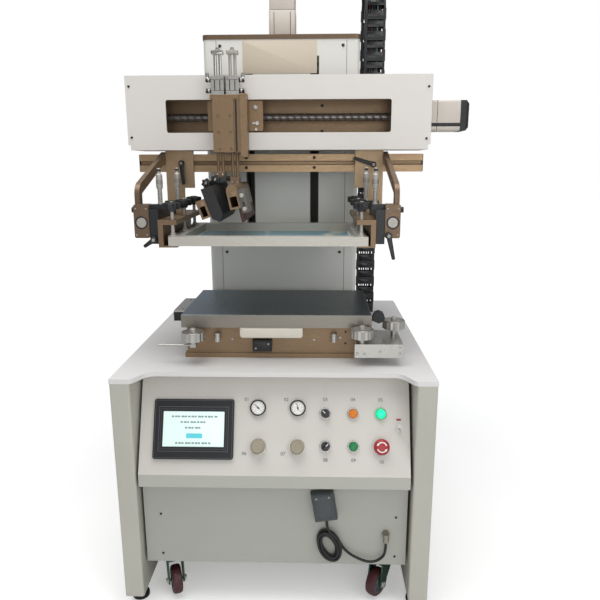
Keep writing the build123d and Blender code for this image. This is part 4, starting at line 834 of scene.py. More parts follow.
KNOB_X = (-40.0, 58.5)
KNOB_Z = 463.0
KNOB_FACE = 24.3
SELECTOR_X = 129.7
BUTTON_X = 200.0
LAMP_X = 270.0
UPPER_ROW = 540.0
LOWER_ROW = 465.0
TAG_PLACE = (315.0, 527.0)
DOME_PROFILE = ((0, 10.2), (5, 10.0), (8.6, 9.4), (10.9, 8.4), (10.9, 6.5), (0, 6.5))
LENS_PROFILE = ((0, 11.4), (6, 11.2), (11, 10.3), (13.6, 8.4), (13.6, 3.0), (0, 3.0))
STOP_PROFILE = (
    (0, 24.0), (9, 23.7), (14.5, 22.4), (18.2, 19.6), (20.0, 15.8), (19.6, 12.0), (17.0, 10.0),
    (11.0, 10.0), (11.0, 0.2), (0, 0.2),
)
ARROW_PROFILE = ((10.4, 23.5), (13.2, 22.9), (13.2, 23.3), (10.4, 23.9), (10.4, 23.5))
ARROW_SWEEP = 118


def add_controls():
    """Rims, caps, pointers and the mushroom head of the panel's controls."""
    for name, x in zip(("left_regulator", "right_regulator"), KNOB_X):
        cap = Shape()
        for inner, outer, proud in ((10.4, 13.2, 0.7), (4.0, 6.0, 0.6)):
            cap.ring(on_panel(x, KNOB_Z), inner, outer, KNOB_FACE - 0.4, KNOB_FACE + proud)
        cap.keep(f"{name}_rings", cream_plastic, "knob_plastic", name)
    rings = Shape()
    rings.ring(on_panel(LAMP_X, UPPER_ROW), 13.7, 15.2, 1.0, 5.2, 0.5)
    for x in (SELECTOR_X, BUTTON_X):
        for z in (UPPER_ROW, LOWER_ROW):
            rings.ring(on_panel(x, z), 11.8, 14.8, 0.0, 6.2, 0.9)
    rings.ring(on_panel(LAMP_X, LOWER_ROW), 12.0, 15.4, 0.0, 5.6, 0.9)
    rings.keep("control_rings", bright_steel, "gauge_metal", "cabinet")
    for name, z, turn in (("upper", UPPER_ROW, 45), ("lower", LOWER_ROW, -45)):
        handle = twisted(on_panel(SELECTOR_X, z, 10.2), turn)
        grip = Shape()
        grip.plate(handle, 9.0, 22.8, 9.6, 3.2, 1.2)
        grip.disc(on_panel(SELECTOR_X, z), 11.2, 5.4, 10.6, 1.0)
        grip.keep(f"{name}_selector_grip", black_gloss, "knob_plastic", f"{name}_selector_switch")
        line = Shape()
        line.plate(shifted(handle, y=5.4, z=9.6), 1.9, 8.6, 0.25, 0.6, 0)
        line.keep(f"{name}_selector_line", print_white, "knob_plastic", f"{name}_selector_switch")
    for name, z, finish, slot in (
        ("orange", UPPER_ROW, orange_plastic, "orange_plastic"),
        ("start", LOWER_ROW, green_plastic, "green_plastic"),
    ):
        cap = Shape()
        cap.turned(on_panel(BUTTON_X, z), DOME_PROFILE)
        cap.keep(f"{name}_button_dome", finish, slot, f"{name}_push_button")
    lens = Shape()
    lens.turned(on_panel(LAMP_X, UPPER_ROW), LENS_PROFILE)
    lens.keep("power_lamp_lens", lamp_glow, "green_plastic", "cabinet")
    stop = on_panel(LAMP_X, LOWER_ROW)
    head = Shape()
    head.turned(stop, STOP_PROFILE, 48)
    head.keep("stop_button_head", red_plastic, "red_plastic", "stop_button", "emergency_stop")
    arrows = Shape()
    for start in (20, 200):
        arrows.turned(twisted(stop, start), ARROW_PROFILE, 14, ARROW_SWEEP)
        tip = twisted(shifted(stop, z=22.8), start + ARROW_SWEEP)
        arrows.prism(tip, ((8.4, 0), (15.2, 0), (11.8, 6.4)), 1.0, 0, 0)
    arrows.keep("stop_button_arrows", print_white, "red_plastic", "stop_button")
    tag = Shape()
    tag.plate(on_panel(*TAG_PLACE), 12, 5, 0.5, 1, 0.1)
    tag.keep("toggle_tag", red_plastic, "red_plastic", "cabinet")


# Control numbers in place of the panel's words, each beside its control
NUMBER_SIZE = 12.0
CONTROL_NUMBERS = (
    *((x - 30, 571.0) for x in GAUGE_X),
    *((x, 572.0) for x in (SELECTOR_X, BUTTON_X, LAMP_X)),
    *((x - 36, 446.0) for x in KNOB_X),
    *((SELECTOR_X, 433.0), (BUTTON_X, 433.0), (LAMP_X, 430.0)),
)


def add_control_numbers():
    """Printed numbers beside the controls."""
    print_work = Shape()
    for i, (x, z) in enumerate(CONTROL_NUMBERS):
        print_work.figures(on_panel(x, z, 0.1), f"{i + 1:02d}", NUMBER_SIZE, 0.15)
    print_work.keep("control_numbers", print_grey, "panel_paint", "cabinet")


add_touch_screen()
add_gauges()
add_controls()
add_control_numbers()


# Lower front: screws of the service panel and the foot switch's lid
SERVICE_SCREWS = ((-299.5, 267.0), (314.3, 265.0), (-299.5, 150.0), (314.3, 150.0))
LOWER_FRONT_Y = 30.0
SWITCH_X = 127.5
SWITCH_Z = 304.0
SWITCH_TILT = math.radians(9.0)
SWITCH_DEPTH = 24.0


def add_lower_front():
    """Service panel screws, and the pedal plate and screws of the foot switch."""
    screws = Shape()
    screws.front_screws(LOWER_FRONT_Y, SERVICE_SCREWS, 6, 2)
    screws.keep("service_panel_screws", soft_black, "black_plastic", "cabinet")
    across = (math.cos(SWITCH_TILT), 0, math.sin(SWITCH_TILT))
    lid = facing(at(SWITCH_X, LOWER_FRONT_Y - SWITCH_DEPTH, SWITCH_Z), (0, -1, 0), across)
    pedal = Shape()
    pedal.plate(lid, 45, 69, 1.2, 3, 0.5)
    pedal.border(shifted(lid, z=1.2), 38, 60, 1.4, 0.6)
    pedal.plate(shifted(lid, z=-18), 60, 84, 2.0, 3, 0.8)
    pedal.keep("foot_switch_pedal", switch_paint, "switch_grey", "cabinet")
    lid_screws = Shape()
    for side in (-1, 1):
        lid_screws.screw(shifted(lid, 16 * side, 29, 1.2), 5, 1.4)
    lid_screws.keep("foot_switch_screws", bright_steel, "bright_steel", "cabinet")


add_lower_front()


# Casters: tread, hub and axle bolts along each wheel's own axle; every caster's turn is in
# degrees, in the order of CORNERS
CASTER_TURNS = (22, -40, 12, -15)
FORK_OUTER = 22.0
TREAD_PROFILE = (
    (27.0, -12.4), (33.0, -12.9), (36.6, -10.2), (37.9, -5.0), (37.9, 5.0), (36.6, 10.2),
    (33.0, 12.9), (27.0, 12.4), (27.0, -12.4),
)
HUB_PROFILE = (
    (4.4, -12.0), (8.0, -12.8), (11.0, -12.8), (13.0, -8.5), (22.5, -8.5), (25.0, -12.6),
    (27.4, -12.8), (27.4, 12.8), (25.0, 12.6), (22.5, 8.5), (13.0, 8.5), (11.0, 12.8), (8.0, 12.8),
    (4.4, 12.0), (4.4, -12.0),
)


def add_casters():
    """Maroon treads on grey hubs, with bolt heads and nuts on the forks."""
    for corner, turn in zip(CORNERS, CASTER_TURNS):
        wheel_low, wheel_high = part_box(f"{corner}_caster_wheel")
        angle = math.radians(turn)
        ahead = (math.cos(angle), math.sin(angle), 0)
        axle = facing((wheel_low + wheel_high) / 2, ahead, (0, 0, 1))
        tread = Shape()
        tread.turned(axle, TREAD_PROFILE, 48)
        wheel = f"{corner}_wheel"
        replaced = f"{corner}_caster_wheel"
        tread.keep(f"{corner}_tread", wheel_rubber, "wheel_rubber", wheel, replaced)
        hub = Shape()
        hub.turned(axle, HUB_PROFILE, 36)
        for i in range(5):
            rib = twisted(axle, 72 * i)
            hub.plate(shifted(rib, y=17.5, z=-11), 3.2, 11, 22, 0, 0.4)
        hub.keep(f"{corner}_hub", hub_grey, "fork_steel", wheel)
        bolts = Shape()
        for hand in (-1, 1):
            outside = facing(axle.translation, Vector(ahead) * hand, (0, 0, 1))
            bolts.disc(shifted(outside, z=FORK_OUTER), 9.5, 0, 1.2, 0.3, 24)
            bolts.disc(shifted(outside, z=FORK_OUTER + 1.2), 7.0, 0, 4.5, 0.8, 6)
        bolts.keep(f"{corner}_axle_bolt", bright_steel, "bright_steel", f"{corner}_fork")


add_casters()


# Print table
PLATEN_TOP = 775.0
BASE_FRONT_Y = 179.0
BRACKET_FRONT_Y = 105.0
DIAL_PLACES = ((-213.0, 118.0, 738.0), (223.0, 118.0, 747.0), (314.0, 200.0, 750.0))
DIAL_CAP_PROFILE = ((0, 9.5), (5.6, 9.3), (7.6, 7.2), (7.6, 1.0), (9.2, 0), (0, 0))
BRACKET_SCREWS = ((211, 685), (230, 685), (320, 703), (320, 687), (270, 692))
BASE_SCREWS = ((-196, 706), (-120, 700), (100, 700), (170, 706))
PLATEN_HOLES = ((-156.5, 320.6), (-151.8, 270.8))
BASE_HOLES = ((-215, 722), (-215, 690), (184, 722), (184, 690))
FITTING_SCREWS = ((-270, 258, 764), (-270, 368, 764))
TAB_MIDDLE = (-12.5, 145.0, 727.0)
LIMIT_SWITCH = (-38.5, 161.0, 686.5)


def add_print_table():
    """Dials, tab cover, screws, limit switch and the painted shade of the print table's small
    holes.
    """
    dark = Shape()
    # Black discs in the holes of the platen and the base: painted shade
    for x, y in PLATEN_HOLES:
        dark.disc(upward(x, y, PLATEN_TOP), 2.6, 0, 0.2, 0.05, 16)
    for x, z in BASE_HOLES:
        dark.disc(frontward(x, BASE_FRONT_Y, z), 3.2, 0, 0.3, 0.1, 16)
    switch = frontward(*LIMIT_SWITCH)
    dark.plate(switch, 44, 22, 1.2, 2, 0.3)
    dark.keep("table_hole_shade_and_switch", soft_black, "black_plastic", "cabinet")
    screws = Shape()
    screws.front_screws(BRACKET_FRONT_Y, BRACKET_SCREWS, 7, 2.4)
    screws.front_screws(BASE_FRONT_Y, BASE_SCREWS, 7, 2.0)
    for side in (-1, 1):
        screws.screw(shifted(switch, 17 * side, 6 * side, 1.2), 5, 1.4)
    for place in FITTING_SCREWS:
        screws.screw(upward(*place), 6, 2.0)
    screws.keep("table_screws", bright_steel, "bright_steel", "cabinet")
    tab = Shape()
    tab.plate(frontward(*TAB_MIDDLE), 164, 25, 0.6, 7, 0.2)
    tab.plate(upward(TAB_MIDDLE[0], 162, 740), 164, 33, 0.2, 0, 0)
    tab.keep("table_tab_cover", tab_plastic, "bare_aluminium", "cabinet")
    faces, ticks, caps = Shape(), Shape(), Shape()
    for x, y, top in DIAL_PLACES:
        dial = upward(x, y, top)
        faces.ring(dial, 9.0, 27.0, 0, 1.0, 0.4, 48)
        for i in range(40):
            mark = twisted(shifted(dial, z=1.0), 9 * i)
            length = 5.0 if i % 5 == 0 else 3.0
            ticks.plate(shifted(mark, y=26 - length / 2), 0.7, length, 0.12, 0, 0)
            if i % 10 == 0:
                ticks.figures(shifted(mark, y=17.2), str(i // 10), 6, 0.12)
        caps.turned(dial, DIAL_CAP_PROFILE, 28)
    faces.keep("dial_faces", aluminium_long, "bare_aluminium", "cabinet")
    ticks.keep("dial_marks", print_black, "bare_aluminium", "cabinet")
    caps.keep("dial_caps", satin_chrome, "bright_steel", "cabinet")


add_print_table()


# Column
COLUMN_FRONT_Y = 510.0
COLUMN_HALF_WIDTH = 231.0
SLOT_X = (-98.0, 98.0)
SLOT_MIDDLE_Z = 1221.5
SLOT_LENGTH = 495.0
SLOT_HALF_WIDTH = 12.0
SLOT_BACK_Y = 620.0
SEAM_X = 192.0
SEAM_MIDDLE_Z = 1082.0
SEAM_LENGTH = 862.0
PLAQUE_PLACE = (-5.0, COLUMN_FRONT_Y, 1466.0)
COVER_HEIGHT = 1528.0
FACE_SCREWS = ((181, 1497), (178, 888), (181, 1180))


def add_column():
    """Cover seams, slot linings darkened partly as painted shade, a bare plaque and the cover's
    screws.
    """
    seams = Shape()
    for side in (-1, 1):
        front = frontward(side * SEAM_X, COLUMN_FRONT_Y, SEAM_MIDDLE_Z)
        flank = sideward(side * COLUMN_HALF_WIDTH, 560, SEAM_MIDDLE_Z, side)
        for seam in (front, flank):
            seams.plate(seam, 1.4, SEAM_LENGTH, 0.3, 0, 0)
    for x in SLOT_X:
        for side in (-1, 1):
            seam = frontward(x + side * (SLOT_HALF_WIDTH + 0.6), COLUMN_FRONT_Y, SLOT_MIDDLE_Z)
            seams.plate(seam, 1.2, SLOT_LENGTH, 0.3, 0, 0)
    seams.keep("column_seams", seam_grey, "machine_paint", "cabinet")
    # Dark linings in the column's slots: partly the slots' black guide covers, partly painted
    # shade of the deep slots
    lining = Shape()
    for x in SLOT_X:
        back = frontward(x, SLOT_BACK_Y, SLOT_MIDDLE_Z)
        lining.plate(back, 2 * SLOT_HALF_WIDTH, SLOT_LENGTH, 1.0, 0, 0)
        for side in (-1, 1):
            wall = sideward(x - side * SLOT_HALF_WIDTH, 565.5, SLOT_MIDDLE_Z, side)
            lining.plate(wall, 107, SLOT_LENGTH, 0.6, 0, 0)
    lining.keep("column_slot_linings", slot_cover_and_shade_grey, "machine_paint", "cabinet")
    plaque = Shape()
    plaque.plate(frontward(*PLAQUE_PLACE), 220, 92, 0.8, 3, 0.2)
    plaque.keep("column_plaque", plaque_metal, "brown_metal", "cabinet")
    screws = Shape()
    for x, z in FACE_SCREWS:
        for side in (-1, 1):
            screws.screw(frontward(side * x, COLUMN_FRONT_Y, z), 9, 2.4)
    for x in (-160, 160):
        for y in (540, 660, 780):
            screws.screw(upward(x, y, COVER_HEIGHT), 10, 3)
    screws.keep("column_screws", soft_black, "black_plastic", "cabinet")


add_column()


# Motors: square bodies with a dark cap each, lines where their castings meet
MOTOR_SIZE = 80.0
LIFT_MOTOR = (0.0, 608.0, COVER_HEIGHT)
BEAM_MOTOR = (414.5, 390.0, 1287.0)
CAP_PROFILE = ((0, 0), (56.5, 0), (56.5, 15), (43.8, 24), (0, 24))


def add_motors():
    """Cast bodies, dark caps, joint lines and mounting screws of both servo motors."""
    up = upward(*LIFT_MOTOR)
    body = Shape()
    body.plate(up, MOTOR_SIZE, MOTOR_SIZE, 80, 6, 0.8)
    body.plate(shifted(up, z=80), 77, 77, 84, 6, 0.8)
    body.keep("lift_motor_body", motor_alloy, "motor_alloy", "cabinet", "lift_motor")
    cap = Shape()
    cap.turned(twisted(shifted(up, z=164), 45), CAP_PROFILE, 4)
    cap.keep("lift_motor_cap", black_plastic, "black_plastic", "cabinet")
    lines = Shape()
    for x in (-24.5, 24.5):
        groove = frontward(x, LIFT_MOTOR[1] - MOTOR_SIZE / 2, LIFT_MOTOR[2] + 38)
        lines.plate(groove, 1.6, 72, 0.4, 0, 0)
    lines.plate(shifted(up, z=79.2), 79.4, 79.4, 1.6, 6, 0)
    lines.plate(shifted(up, z=116), 77.6, 77.6, 1.4, 6, 0)
    lines.keep("lift_motor_lines", soft_black, "motor_alloy", "cabinet")
    right = sideward(*BEAM_MOTOR, 1)
    body = Shape()
    body.plate(right, MOTOR_SIZE, MOTOR_SIZE, 82, 6, 0.8)
    body.keep("beam_motor_body", motor_alloy, "motor_alloy", "print_head", "beam_motor")
    cap = Shape()
    cap.turned(twisted(shifted(right, z=82), 45), CAP_PROFILE, 4)
    label = frontward(BEAM_MOTOR[0] + 41, BEAM_MOTOR[1] - MOTOR_SIZE / 2, BEAM_MOTOR[2] - 24)
    cap.plate(label, 82, 9, 0.6, 0, 0.1)
    cap.keep("beam_motor_cap", black_plastic, "black_plastic", "print_head")
    details = Shape()
    details.plate(shifted(right, z=18), 80.8, 80.8, 1.2, 6, 0)
    details.plate(shifted(right, z=81.4), 80.6, 80.6, 1.2, 6, 0)
    details.keep("beam_motor_lines", soft_black, "motor_alloy", "print_head")
    end = Shape()
    for dx, dy in ((-27, -27), (27, -27), (-27, 27), (27, 27)):
        end.screw(shifted(right, dx, dy, 105.2), 6, 0.7)
    end.keep("beam_motor_screws", bright_steel, "bright_steel", "print_head")


add_motors()


# Beam: cover screws, the turns of the ball screw, and screws along the spine and rail
COVER_FRONT_Y = 330.0
COVER_SCREWS = ((-404, 1364), (-404, 1231), (404, 1360), (403, 1226))
SCREW_Z = 1287.0
SCREW_Y = 390.0
SPINE_SCREWS = tuple((x, z) for x in (-360, -120, 120, 360) for z in (1251, 1322))
RAIL_SCREWS = tuple((x, z) for x in (-98, 98) for z in (1149, 1177))
BALL_SCREW_HALF = 388.0
BALL_SCREW_LEAD = 20.0
SPINE_FRONT_Y = 434.0
RAIL_FRONT_Y = 405.0
RAIL_Z = 1162.0
GROOVE_PROFILE = ((9.7, -4.5), (10.3, -4.2), (10.3, 4.2), (9.7, 4.5), (9.7, -4.5))


def add_beam():
    """Screw heads, ball screw grooves, a painted shade strip in the rail's slot and the marks
    along the beam and rail.
    """
    screws = Shape()
    screws.front_screws(COVER_FRONT_Y, COVER_SCREWS, 6.5, 2)
    screws.keep("cover_screws", soft_black, "black_plastic", "print_head")
    grooves = Shape()
    turns = int(2 * BALL_SCREW_HALF / BALL_SCREW_LEAD)
    start = sideward(-BALL_SCREW_HALF, SCREW_Y, SCREW_Z, 1)
    grooves.turned(start, GROOVE_PROFILE, turns * 16, 360 * turns, BALL_SCREW_LEAD * turns)
    grooves.keep("ball_screw_grooves", screw_groove, "bright_steel", "print_head")
    holes = Shape()
    holes.front_screws(SPINE_FRONT_Y, SPINE_SCREWS, 9, 2.5)
    holes.front_screws(RAIL_FRONT_Y, RAIL_SCREWS, 9, 2.5)
    for x in (-98, 98):
        holes.screw(upward(x, 452, 1392), 8, 2)
    holes.keep("beam_screws", soft_black, "black_plastic", "print_head")
    # Darker bronze strip set in the rail's slot: painted shade
    slot = Shape()
    slot.plate(frontward(0, RAIL_FRONT_Y + 13.6, RAIL_Z), 812, 9.4, 9.4, 0, 0.6)
    slot.keep("rail_slot_painted_shade", bronze_long, "brown_metal", "print_head")
    ends = Shape()
    for side in (-1, 1):
        ends.plate(sideward(side * 408, 430, RAIL_Z, side), 48, 48, 2.0, 2, 0.4)
    ends.keep("rail_end_caps", black_plastic, "black_plastic", "print_head")


add_beam()


# Carriage
PLATE_FRONT_Y = 338.0
CARRIAGE_FRONT_Y = 284.0
CARRIAGE_BACKING_Y = 293.0
CYLINDER_X = (-157.0, -117.5)
CYLINDER_FRONT_Y = 291.0
CYLINDER_BOTTOM = 1338.0
CYLINDER_TOP = 1385.0
CYLINDER_PORTS = (CYLINDER_BOTTOM + 10, CYLINDER_TOP - 10)
VALVES = ((CYLINDER_X[0] - 17, -1), (CYLINDER_X[1] + 17, 1))
VALVE_Y = 299.5
NEEDLE_PROFILE = ((0, 18), (3.6, 17.4), (4.6, 15), (4.6, 6), (5.3, 5), (5.3, 0), (0, 0))
CARRIAGE_BOLTS = (
    (-156.5, 1284.5), (-125.0, 1284.5), (-155.5, 1243.0), (-124.7, 1243.0), (-154.0, 1199.0),
    (-123.0, 1199.0),
)
PLATE_BOLTS = ((-61.7, 1310, 12), (-58.4, 1268, 12), (-68.0, 1268, 8), (-61.2, 1252, 9))
ROD_Y = 308.0
YOKE_TOP = 1448.0


def add_carriage():
    """Screws, joints and fittings of the carriage and its two air cylinders, with painted shade in
    the carriage's groove.
    """
    bolts = Shape()
    bolts.front_screws(CARRIAGE_FRONT_Y, CARRIAGE_BOLTS, 8, 1.2)
    bolts.keep("bracket_screws", bronze_dark, "brown_metal", "carriage")
    screws = Shape()
    for x, z, width in PLATE_BOLTS:
        screws.screw(frontward(x, PLATE_FRONT_Y, z), width, 4.0)
    for x in CYLINDER_X:
        for dx in (-13, 13):
            for z in (CYLINDER_BOTTOM + 5, CYLINDER_TOP - 5):
                screws.screw(frontward(x + dx, CYLINDER_FRONT_Y, z), 4.5, 1.2)
    for x in (-173, -103):
        screws.screw(upward(x, 308, CYLINDER_BOTTOM), 5, 2.0)
    screws.keep("carriage_screws", bright_steel, "bright_steel", "carriage")
    dark = Shape()
    # Black strip in the groove between the carriage plate and its side bar: painted shade
    dark.plate(frontward(-110, CARRIAGE_BACKING_Y, 1259), 5, 134, 0.4, 0, 0)
    for x in CYLINDER_X:
        for dx in (-7, 7):
            dark.plate(frontward(x + dx, CYLINDER_FRONT_Y, 1361.5), 2.4, 26, 0.3, 0, 0)
        for z in CYLINDER_PORTS:
            dark.plate(frontward(x, CYLINDER_FRONT_Y, z), 33.4, 0.9, 0.3, 0, 0)
    dark.keep("carriage_joints_and_groove_shade", soft_black, "black_plastic", "carriage")
    collars, tips = Shape(), Shape()
    for x, side in VALVES:
        for z in CYLINDER_PORTS:
            valve = sideward(x, VALVE_Y, z, side)
            collars.disc(valve, 6.2, 0.2, 4.2, 0.6, 20)
            collars.disc(valve, 6.4, 8.4, 14.6, 0.8, 6)
        tips.turned(upward(x + side * 10, VALVE_Y, CYLINDER_PORTS[1]), NEEDLE_PROFILE, 20)
    collars.keep("cylinder_collars", black_plastic, "black_plastic", "carriage")
    tips.keep("cylinder_needles", bright_steel, "bright_steel", "carriage")


add_carriage()


# Squeegee and flood bar, drawn on the planes of their blades
# Place of a bar: X of its blade's tip and its lean in degrees
BAR_PLACE = (-140.0, 20.0)
FLOOD_PLACE = (-80.0, 12.0)
BLADE_TIP_Z = 1016.0
BAR_FRONT_Y = 263.0
BAR_LENGTH = 90.0
PRINT_FRONT_Y = 150.0
STAR_KNOBS = (-14.0, 12.7)
TUBE_DEPTH = 12.0
NUT_PROFILE = ((0, 8.6), (4.2, 8.6), (4.2, 5.0), (6.6, 5.0), (6.6, 0), (0, 0))
THUMB_PROFILE = (
    (0, 9.0), (4.6, 9.0), (5.4, 8.2), (5.4, 3.2), (4.6, 2.4), (3.0, 2.2), (3.0, 0), (0, 0),
)


def blade_place(x, tilt, y):
    """Place on a blade's own plane: its Y up along the leaning blade, its Z to the front."""
    lean = math.radians(tilt)
    return facing(at(x, y, BLADE_TIP_Z), (0, -1, 0), (math.cos(lean), 0, math.sin(lean)))


def add_yoke(shape, x, reach, rows):
    """Add sleeves on a cylinder's twin rods, their yoke's cover and the screws on both ends."""
    shape.plate(upward(x, ROD_Y, 1439.7), 30.6, 24.6, 8.6, 1.5, 0.6)
    for hand in (-1, 1):
        shape.disc(upward(x + hand * 6.5, ROD_Y, 1387), 4.2, 0, 53, 0.2, 24)
        shape.screw(upward(x + hand * reach, ROD_Y, YOKE_TOP), 5, 1.6)
        for z in rows:
            shape.screw(frontward(x + hand * 7, ROD_Y - 18, z), 5, 1.4)


def add_squeegee():
    """Black clamp bar, star knobs and end screws of the squeegee."""
    front = blade_place(*BAR_PLACE, BAR_FRONT_Y)
    bar = Shape()
    bar.plate(shifted(front, 6, 98.5, -BAR_LENGTH - 0.4), 64.8, 13.8, BAR_LENGTH + 0.8, 2, 0.8)
    bar.plate(shifted(front, -27, 80, -BAR_LENGTH + 8), 13, 22, BAR_LENGTH - 16, 1.5, 0.6)
    for along in STAR_KNOBS:
        knob = shifted(front, along, 105, 0.3)
        bar.lobed(knob, 27, 6, 4.0, 12.6, 1.6)
        bar.disc(knob, 6.5, 12, 15.2, 1.0, 20)
    bar.keep("squeegee_clamp_bar", soft_black, "black_plastic", "squeegee")
    tube = blade_place(*BAR_PLACE, PRINT_FRONT_Y)
    fill = Shape()
    fill.plate(shifted(tube, -27, 57.2, -TUBE_DEPTH), 14.2, 12, TUBE_DEPTH + 0.2, 0, 0.3)
    fill.keep("squeegee_tube_filler", bronze_up, "brown_metal", "squeegee")
    screws = Shape()
    for along in STAR_KNOBS:
        screws.screw(shifted(front, along, 105, 15.4), 6, 1.6)
    add_yoke(screws, CYLINDER_X[0], 11, (1118, 1132))
    screws.keep("squeegee_screws", bright_steel, "bright_steel", "squeegee")
    yokes = Shape()
    yokes.turned(upward(CYLINDER_X[0], ROD_Y, YOKE_TOP), NUT_PROFILE, 6)
    yokes.keep("squeegee_yoke_nut", satin_chrome, "bright_steel", "squeegee")


def add_flood_bar():
    """Adjuster plate with its thumb screws, and the screws of the flood bar."""
    front = blade_place(*FLOOD_PLACE, PRINT_FRONT_Y)
    plate = Shape()
    plate.plate(shifted(front, 12.5, 51, -59.5), 19.0, 59.0, 60.0, 2, 0.8)
    plate.keep("flood_adjuster_plate", adjuster_grey, "bare_aluminium", "flood_bar")
    fill = Shape()
    fill.plate(shifted(front, -10.5, 73.2, -TUBE_DEPTH), 18.2, 12, TUBE_DEPTH + 0.2, 0, 0.3)
    fill.keep("flood_tube_filler", bronze_up, "brown_metal", "flood_bar")
    dark = Shape()
    # Black slot on the adjuster plate: painted shade of its opening
    dark.plate(shifted(front, 12.5, 40, 0.5), 5, 20, 0.3, 2.4, 0)
    dark.keep("flood_bar_hole_shade", soft_black, "black_plastic", "flood_bar")
    screws = Shape()
    for height in (32, 66):
        screws.turned(shifted(front, 12.5, height, 0.5), THUMB_PROFILE, 20)
    add_yoke(screws, CYLINDER_X[1], 11.2, (1112,))
    screws.turned(upward(CYLINDER_X[1], ROD_Y, YOKE_TOP), NUT_PROFILE, 6)
    screws.keep("flood_bar_screws", satin_chrome, "bright_steel", "flood_bar")


add_squeegee()
add_flood_bar()


# Screen holders: a reach is measured outwards from the middle line between them, and a
# pair of numbers gives Y and Z, or Y and the reach of a micrometer
HOLDER_X = -17.5
MICROMETERS = ((140.0, 267.0), (285.0, 256.0))
MICROMETER_FOOT = 1062.0
CLAMP_REACH = 232.5
CLAMP_Y = (112.0, 245.0, 378.0)
FRAME_TOP = 985.0
CLAMP_KNOB_RISE = 61.0
END_BLOCK = (108, 1019)
END_BLOCK_REACH = 308.5
END_SCREWS = ((-13, 34), (13, 34), (-13, -30), (13, -30))
STUD = (129, 1049)
STUD_REACH = 327.0
# Lock levers: X, Z and Y of the hub, the handle's direction in degrees and its length
LEVERS = (
    (-283.0, 1162.0, 395.0, -86, 60.0), (266.5, 1157.0, 395.0, 162, 60.0),
    (-296.5, 977.0, 112.0, -146, 30.0), (281.0, 988.0, 108.0, -77, 60.0),
)
STUD_PROFILE = ((0, 9.2), (5.6, 9.2), (7.2, 8.2), (7.2, 1.2), (6.0, 0), (0, 0))
SLEEVE_PROFILE = ((0, 36.4), (5.6, 36.4), (5.6, 3.0), (7.2, 3.0), (7.2, 0), (0, 0))
THIMBLE_PROFILE = (
    (0, 52.2), (3.8, 52.2), (4.6, 51.2), (4.6, 39.0), (6.8, 37.6), (8.1, 35.6), (8.1, 5.5),
    (6.0, 0.4), (0, 0.4),
)


def holder(side, reach):
    """X of a place on one screen holder, at its reach from the middle line."""
    return HOLDER_X + side * reach


def add_holders():
    """Micrometers, star knobs, lock levers and end discs of the screen holders."""
    sleeves, marks, knobs, steel, rings = Shape(), Shape(), Shape(), Shape(), Shape()
    for side in (-1, 1):
        for y, reach in MICROMETERS:
            foot = upward(holder(side, reach), y, MICROMETER_FOOT)
            sleeves.turned(foot, SLEEVE_PROFILE, 28)
            sleeves.turned(shifted(foot, z=36), THIMBLE_PROFILE, 32)
            for i in range(8):
                marks.ring(shifted(foot, z=8 + 3.2 * i), 5.4, 5.75, 0, 0.5, 0, 24)
            for i in range(18):
                line = twisted(shifted(foot, z=49), 20 * i)
                marks.plate(shifted(line, y=8.0), 0.6, 0.5, 11, 0, 0)
            marks.ring(shifted(foot, z=80), 4.4, 4.8, 0, 5, 0, 20)
    sleeves.keep("micrometers", satin_chrome, "bright_steel", "print_head", "height_micrometers")
    marks.keep("micrometer_marks", print_black, "black_plastic", "print_head")
    for side in (-1, 1):
        for y in CLAMP_Y:
            seat = upward(holder(side, CLAMP_REACH), y, FRAME_TOP)
            knob = shifted(seat, z=CLAMP_KNOB_RISE)
            steel.disc(seat, 12, 0, 3, 0.5, 28)
            steel.disc(seat, 7, 3, 9, 0.5, 6)
            steel.disc(seat, 4.5, 9, CLAMP_KNOB_RISE, 0.3, 16)
            steel.disc(knob, 4.6, 22, 24.5, 0.5, 16)
            knobs.lobed(shifted(knob, z=6), 45.5, 7, 5.5, 16, 3.0)
            knobs.turned(knob, ((0, 0), (9.5, 0), (12.0, 6.5), (0, 6.5)), 28)
            knobs.disc(knob, 10.5, 22, 23.6, 0.8, 28)
        end = frontward(holder(side, END_BLOCK_REACH), *END_BLOCK)
        steel.disc(end, 12.3, -2, 0.6, 0.6, 32)
        steel.disc(end, 2.4, 0.6, 1.1, 0.3, 12)
        for x, z in END_SCREWS:
            steel.screw(shifted(end, x, z), 4.2, 1.4)
        rings.ring(end, 12.4, 16.0, -1.8, 0.4, 0.4, 32)
        rings.turned(sideward(holder(side, STUD_REACH), *STUD, side), STUD_PROFILE, 20)
    for x, z, y, direction, length in LEVERS:
        hub = frontward(x, y, z)
        arm = twisted(hub, direction - 90)
        knobs.disc(hub, 8.0, 0, 14, 1.0, 24)
        tip = length - 4.5
        handle = ((-6.5, 0), (6.5, 0), (4.3, tip), (-4.3, tip))
        knobs.prism(shifted(arm, z=6.2), handle, 7.6, 0, 1.6)
        knobs.disc(shifted(arm, y=tip), 4.6, 6.4, 13.6, 1.4, 20)
        steel.screw(shifted(hub, z=14), 8, 1.8)
    knobs.keep("clamp_knobs_and_levers", soft_black, "black_plastic", "print_head", "frame_clamps")
    steel.keep("holder_steel_parts", satin_chrome, "bright_steel", "print_head")
    rings.keep("end_block_rings", black_plastic, "black_plastic", "print_head")


add_holders()


# Screen mesh: printed fabric stretched over the opening of the frame
SCREEN_WIDTH = 432.0
SCREEN_DEPTH = 310.0
MESH_Z = 963.0
MESH_SCREWS = ((-250, 150), (-250, 430), (222, 150), (222, 430))


